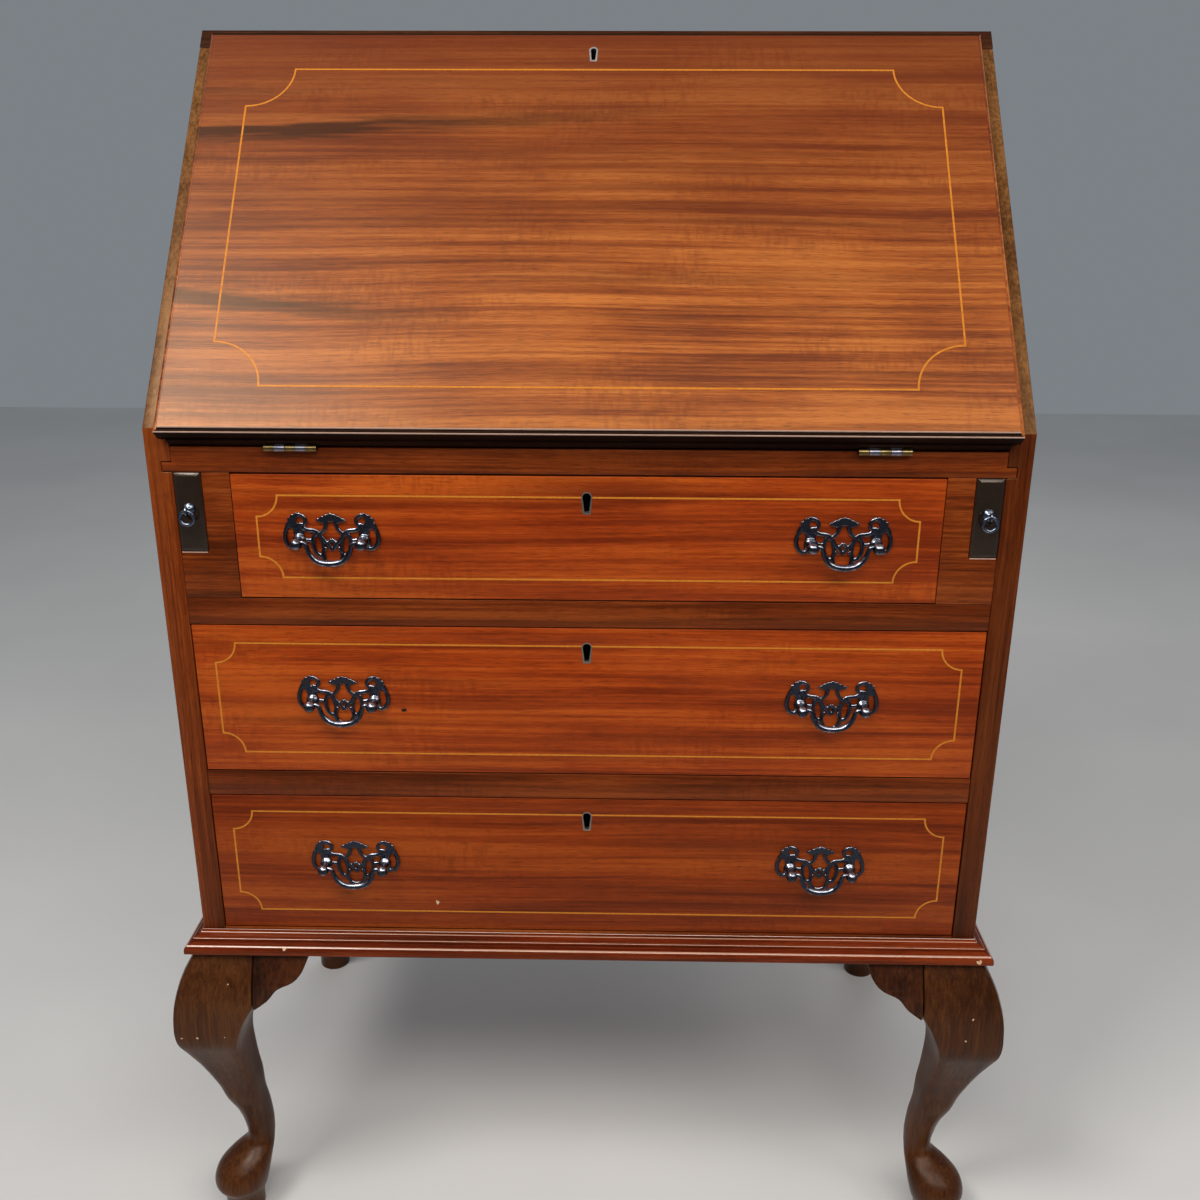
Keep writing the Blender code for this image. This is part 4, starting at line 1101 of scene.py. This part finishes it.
def pull(side, front):
    """A turned stem with a ring eye, and the ring that hangs in it."""
    x, y, z = Vector(JOINTS[f"loper_ring_{side}_swing"]["pos_m"])
    turns = [2 * math.pi * i / 24 for i in range(24)]
    eye = [(x, y + EYE_RADIUS * math.cos(t), z + EYE_RADIUS * math.sin(t)) for t in turns]
    stem = merged([turned(STEM, (x, front, z), (0, -1, 0), 32), ring_tube(eye, 0.0012, Vector((1, 0, 0)))])
    stem = smooth(new_object(f"loper_stem_{side}", stem), 50)
    dress(stem, PEWTER, f"loper_{side}", "dark_brass", f"loper_pull_{side}")
    middle = z - RING_RADIUS
    turns = [2 * math.pi * i / 40 for i in range(40)]
    loop = [(x + RING_RADIUS * math.sin(t), y, middle + RING_RADIUS * math.cos(t)) for t in turns]
    ring = smooth(new_object(f"loper_pull_ring_{side}", ring_tube(loop, 0.0013, Vector((0, 1, 0)))), 60)
    dress(ring, PEWTER, f"loper_ring_{side}", "dark_brass", f"loper_ring_{side}")


def ring_tube(points, radius, normal):
    """A closed round wire through points that lie in a plane with the given normal."""
    rings = []
    for i, point in enumerate(points):
        along = (Vector(points[(i + 1) % len(points)]) - Vector(points[i - 1])).normalized()
        rings.append(hoop(Vector(point), along.cross(normal).normalized(), normal, radius, 12))
    return band(rings)


# ---- hinges
def hinges():
    for side in ("left", "right"):
        for leaf, metal in (("case", BRASS), ("fall", HINGE)):
            node = f"{leaf}_hinge_leaf_{side}"
            dress(smooth(clean_copy(node), 35), metal, body_of(node), "brass", node)


# ---- inside
KNOB = [
    (0.0, 0.0038), (0.0010, 0.0038), (0.0016, 0.0028), (0.0024, 0.0020), (0.0046, 0.0019), (0.0060, 0.0034),
    (0.0070, 0.0050), (0.0082, 0.0057), (0.0096, 0.0052), (0.0108, 0.0036), (0.0115, 0.0016),
]


def inside():
    interior = wood("pigeonhole_wood", "X", RED, 51, 0.4, 0.2, 0.3)
    softened("pigeonhole_unit", interior, "mahogany", 0.0006)
    for number, side in enumerate(("left", "right")):
        face = wood(f"small_drawer_{side}_wood", "X", RED, 52 + number, 0.4, 0.3, 0.4)
        softened(f"small_drawer_{side}", face, "mahogany", 0.0006)
        low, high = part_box(f"small_knob_{side}")
        base = ((low.x + high.x) / 2, high.y, (low.z + high.z) / 2)
        knob = new_object(f"small_drawer_knob_{side}", turned(curve_points(KNOB, 3), base, (0, -1, 0)))
        dress(smooth(knob, 60), BRASS, f"small_drawer_{side}", "brass", f"small_knob_{side}")


# ---- room
def area_light(name, place, target, size, power, color=(1, 1, 1)):
    light = bpy.data.lights.new(name, "AREA")
    light.shape = "RECTANGLE"
    light.size, light.size_y = size
    light.energy = power
    light.color = color
    obj = bpy.data.objects.new(name, light)
    obj.location = place
    obj.rotation_euler = (Vector(target) - Vector(place)).to_track_quat("-Z", "Y").to_euler()
    bpy.context.scene.collection.objects.link(obj)


def room():
    floor = new_object("floor", box((-4, 4), (-4, 4), (-0.05, 0)))
    shader = Shader("floor_paint")
    clouds = shader.noise(shader.object_vector("XYZ"), scale=2.0, detail=3.0)
    shade = shader.ramp(clouds, [(0.3, (0.66, 0.65, 0.64)), (0.7, (0.72, 0.71, 0.70))])
    floor.data.materials.append(shader.finish(shade, 0.55))
    world = bpy.data.worlds.new("soft_room")
    bpy.context.scene.world = world
    world.use_nodes = True
    background = world.node_tree.nodes["Background"]
    background.inputs["Color"].default_value = (0.84, 0.92, 1.0, 1)
    background.inputs["Strength"].default_value = 0.24
    area_light("window", (-0.90, -1.02, 2.25), (-0.05, -0.1, 0.8), (0.7, 0.5), 24, (1.0, 0.97, 0.92))
    area_light("ceiling", (0.25, -1.60, 2.15), (0, 0.0, 0.7), (1.8, 0.6), 28, (1.0, 0.96, 0.90))
    area_light("side", (1.7, -1.2, 2.1), (0, 0, 0.6), (0.9, 0.9), 12, (1.0, 0.95, 0.88))
    area_light("behind", (0.3, 2.2, 1.9), (0, 0, 0.6), (1.6, 1.2), 6, (1.0, 0.98, 0.95))


def camera():
    """A 36 mm lens on a 36 mm frame, close in front of the desk, looking down."""
    pitch, yaw, roll = 0.3375, 0.0178, 0.0033
    forward = Vector((-math.sin(yaw) * math.cos(pitch), math.cos(yaw) * math.cos(pitch), -math.sin(pitch)))
    data = bpy.data.cameras.new("view")
    data.lens = 36.0
    data.sensor_width = 36.0
    obj = bpy.data.objects.new("view", data)
    turn = forward.to_track_quat("-Z", "Y").to_matrix().to_4x4() @ Matrix.Rotation(roll, 4, "Z")
    obj.matrix_world = Matrix.Translation((0.0262, -1.0831, 0.9319)) @ turn
    bpy.context.scene.collection.objects.link(obj)
    bpy.context.scene.camera = obj
    bpy.context.scene.view_settings.view_transform = "Standard"


camera()
room()
carcase()
base_mouldings()
legs()
fall()
stringing_lines()
escutcheons()
drawers()
handles()
lopers()
hinges()
inside()

bpy.context.view_layer.update()
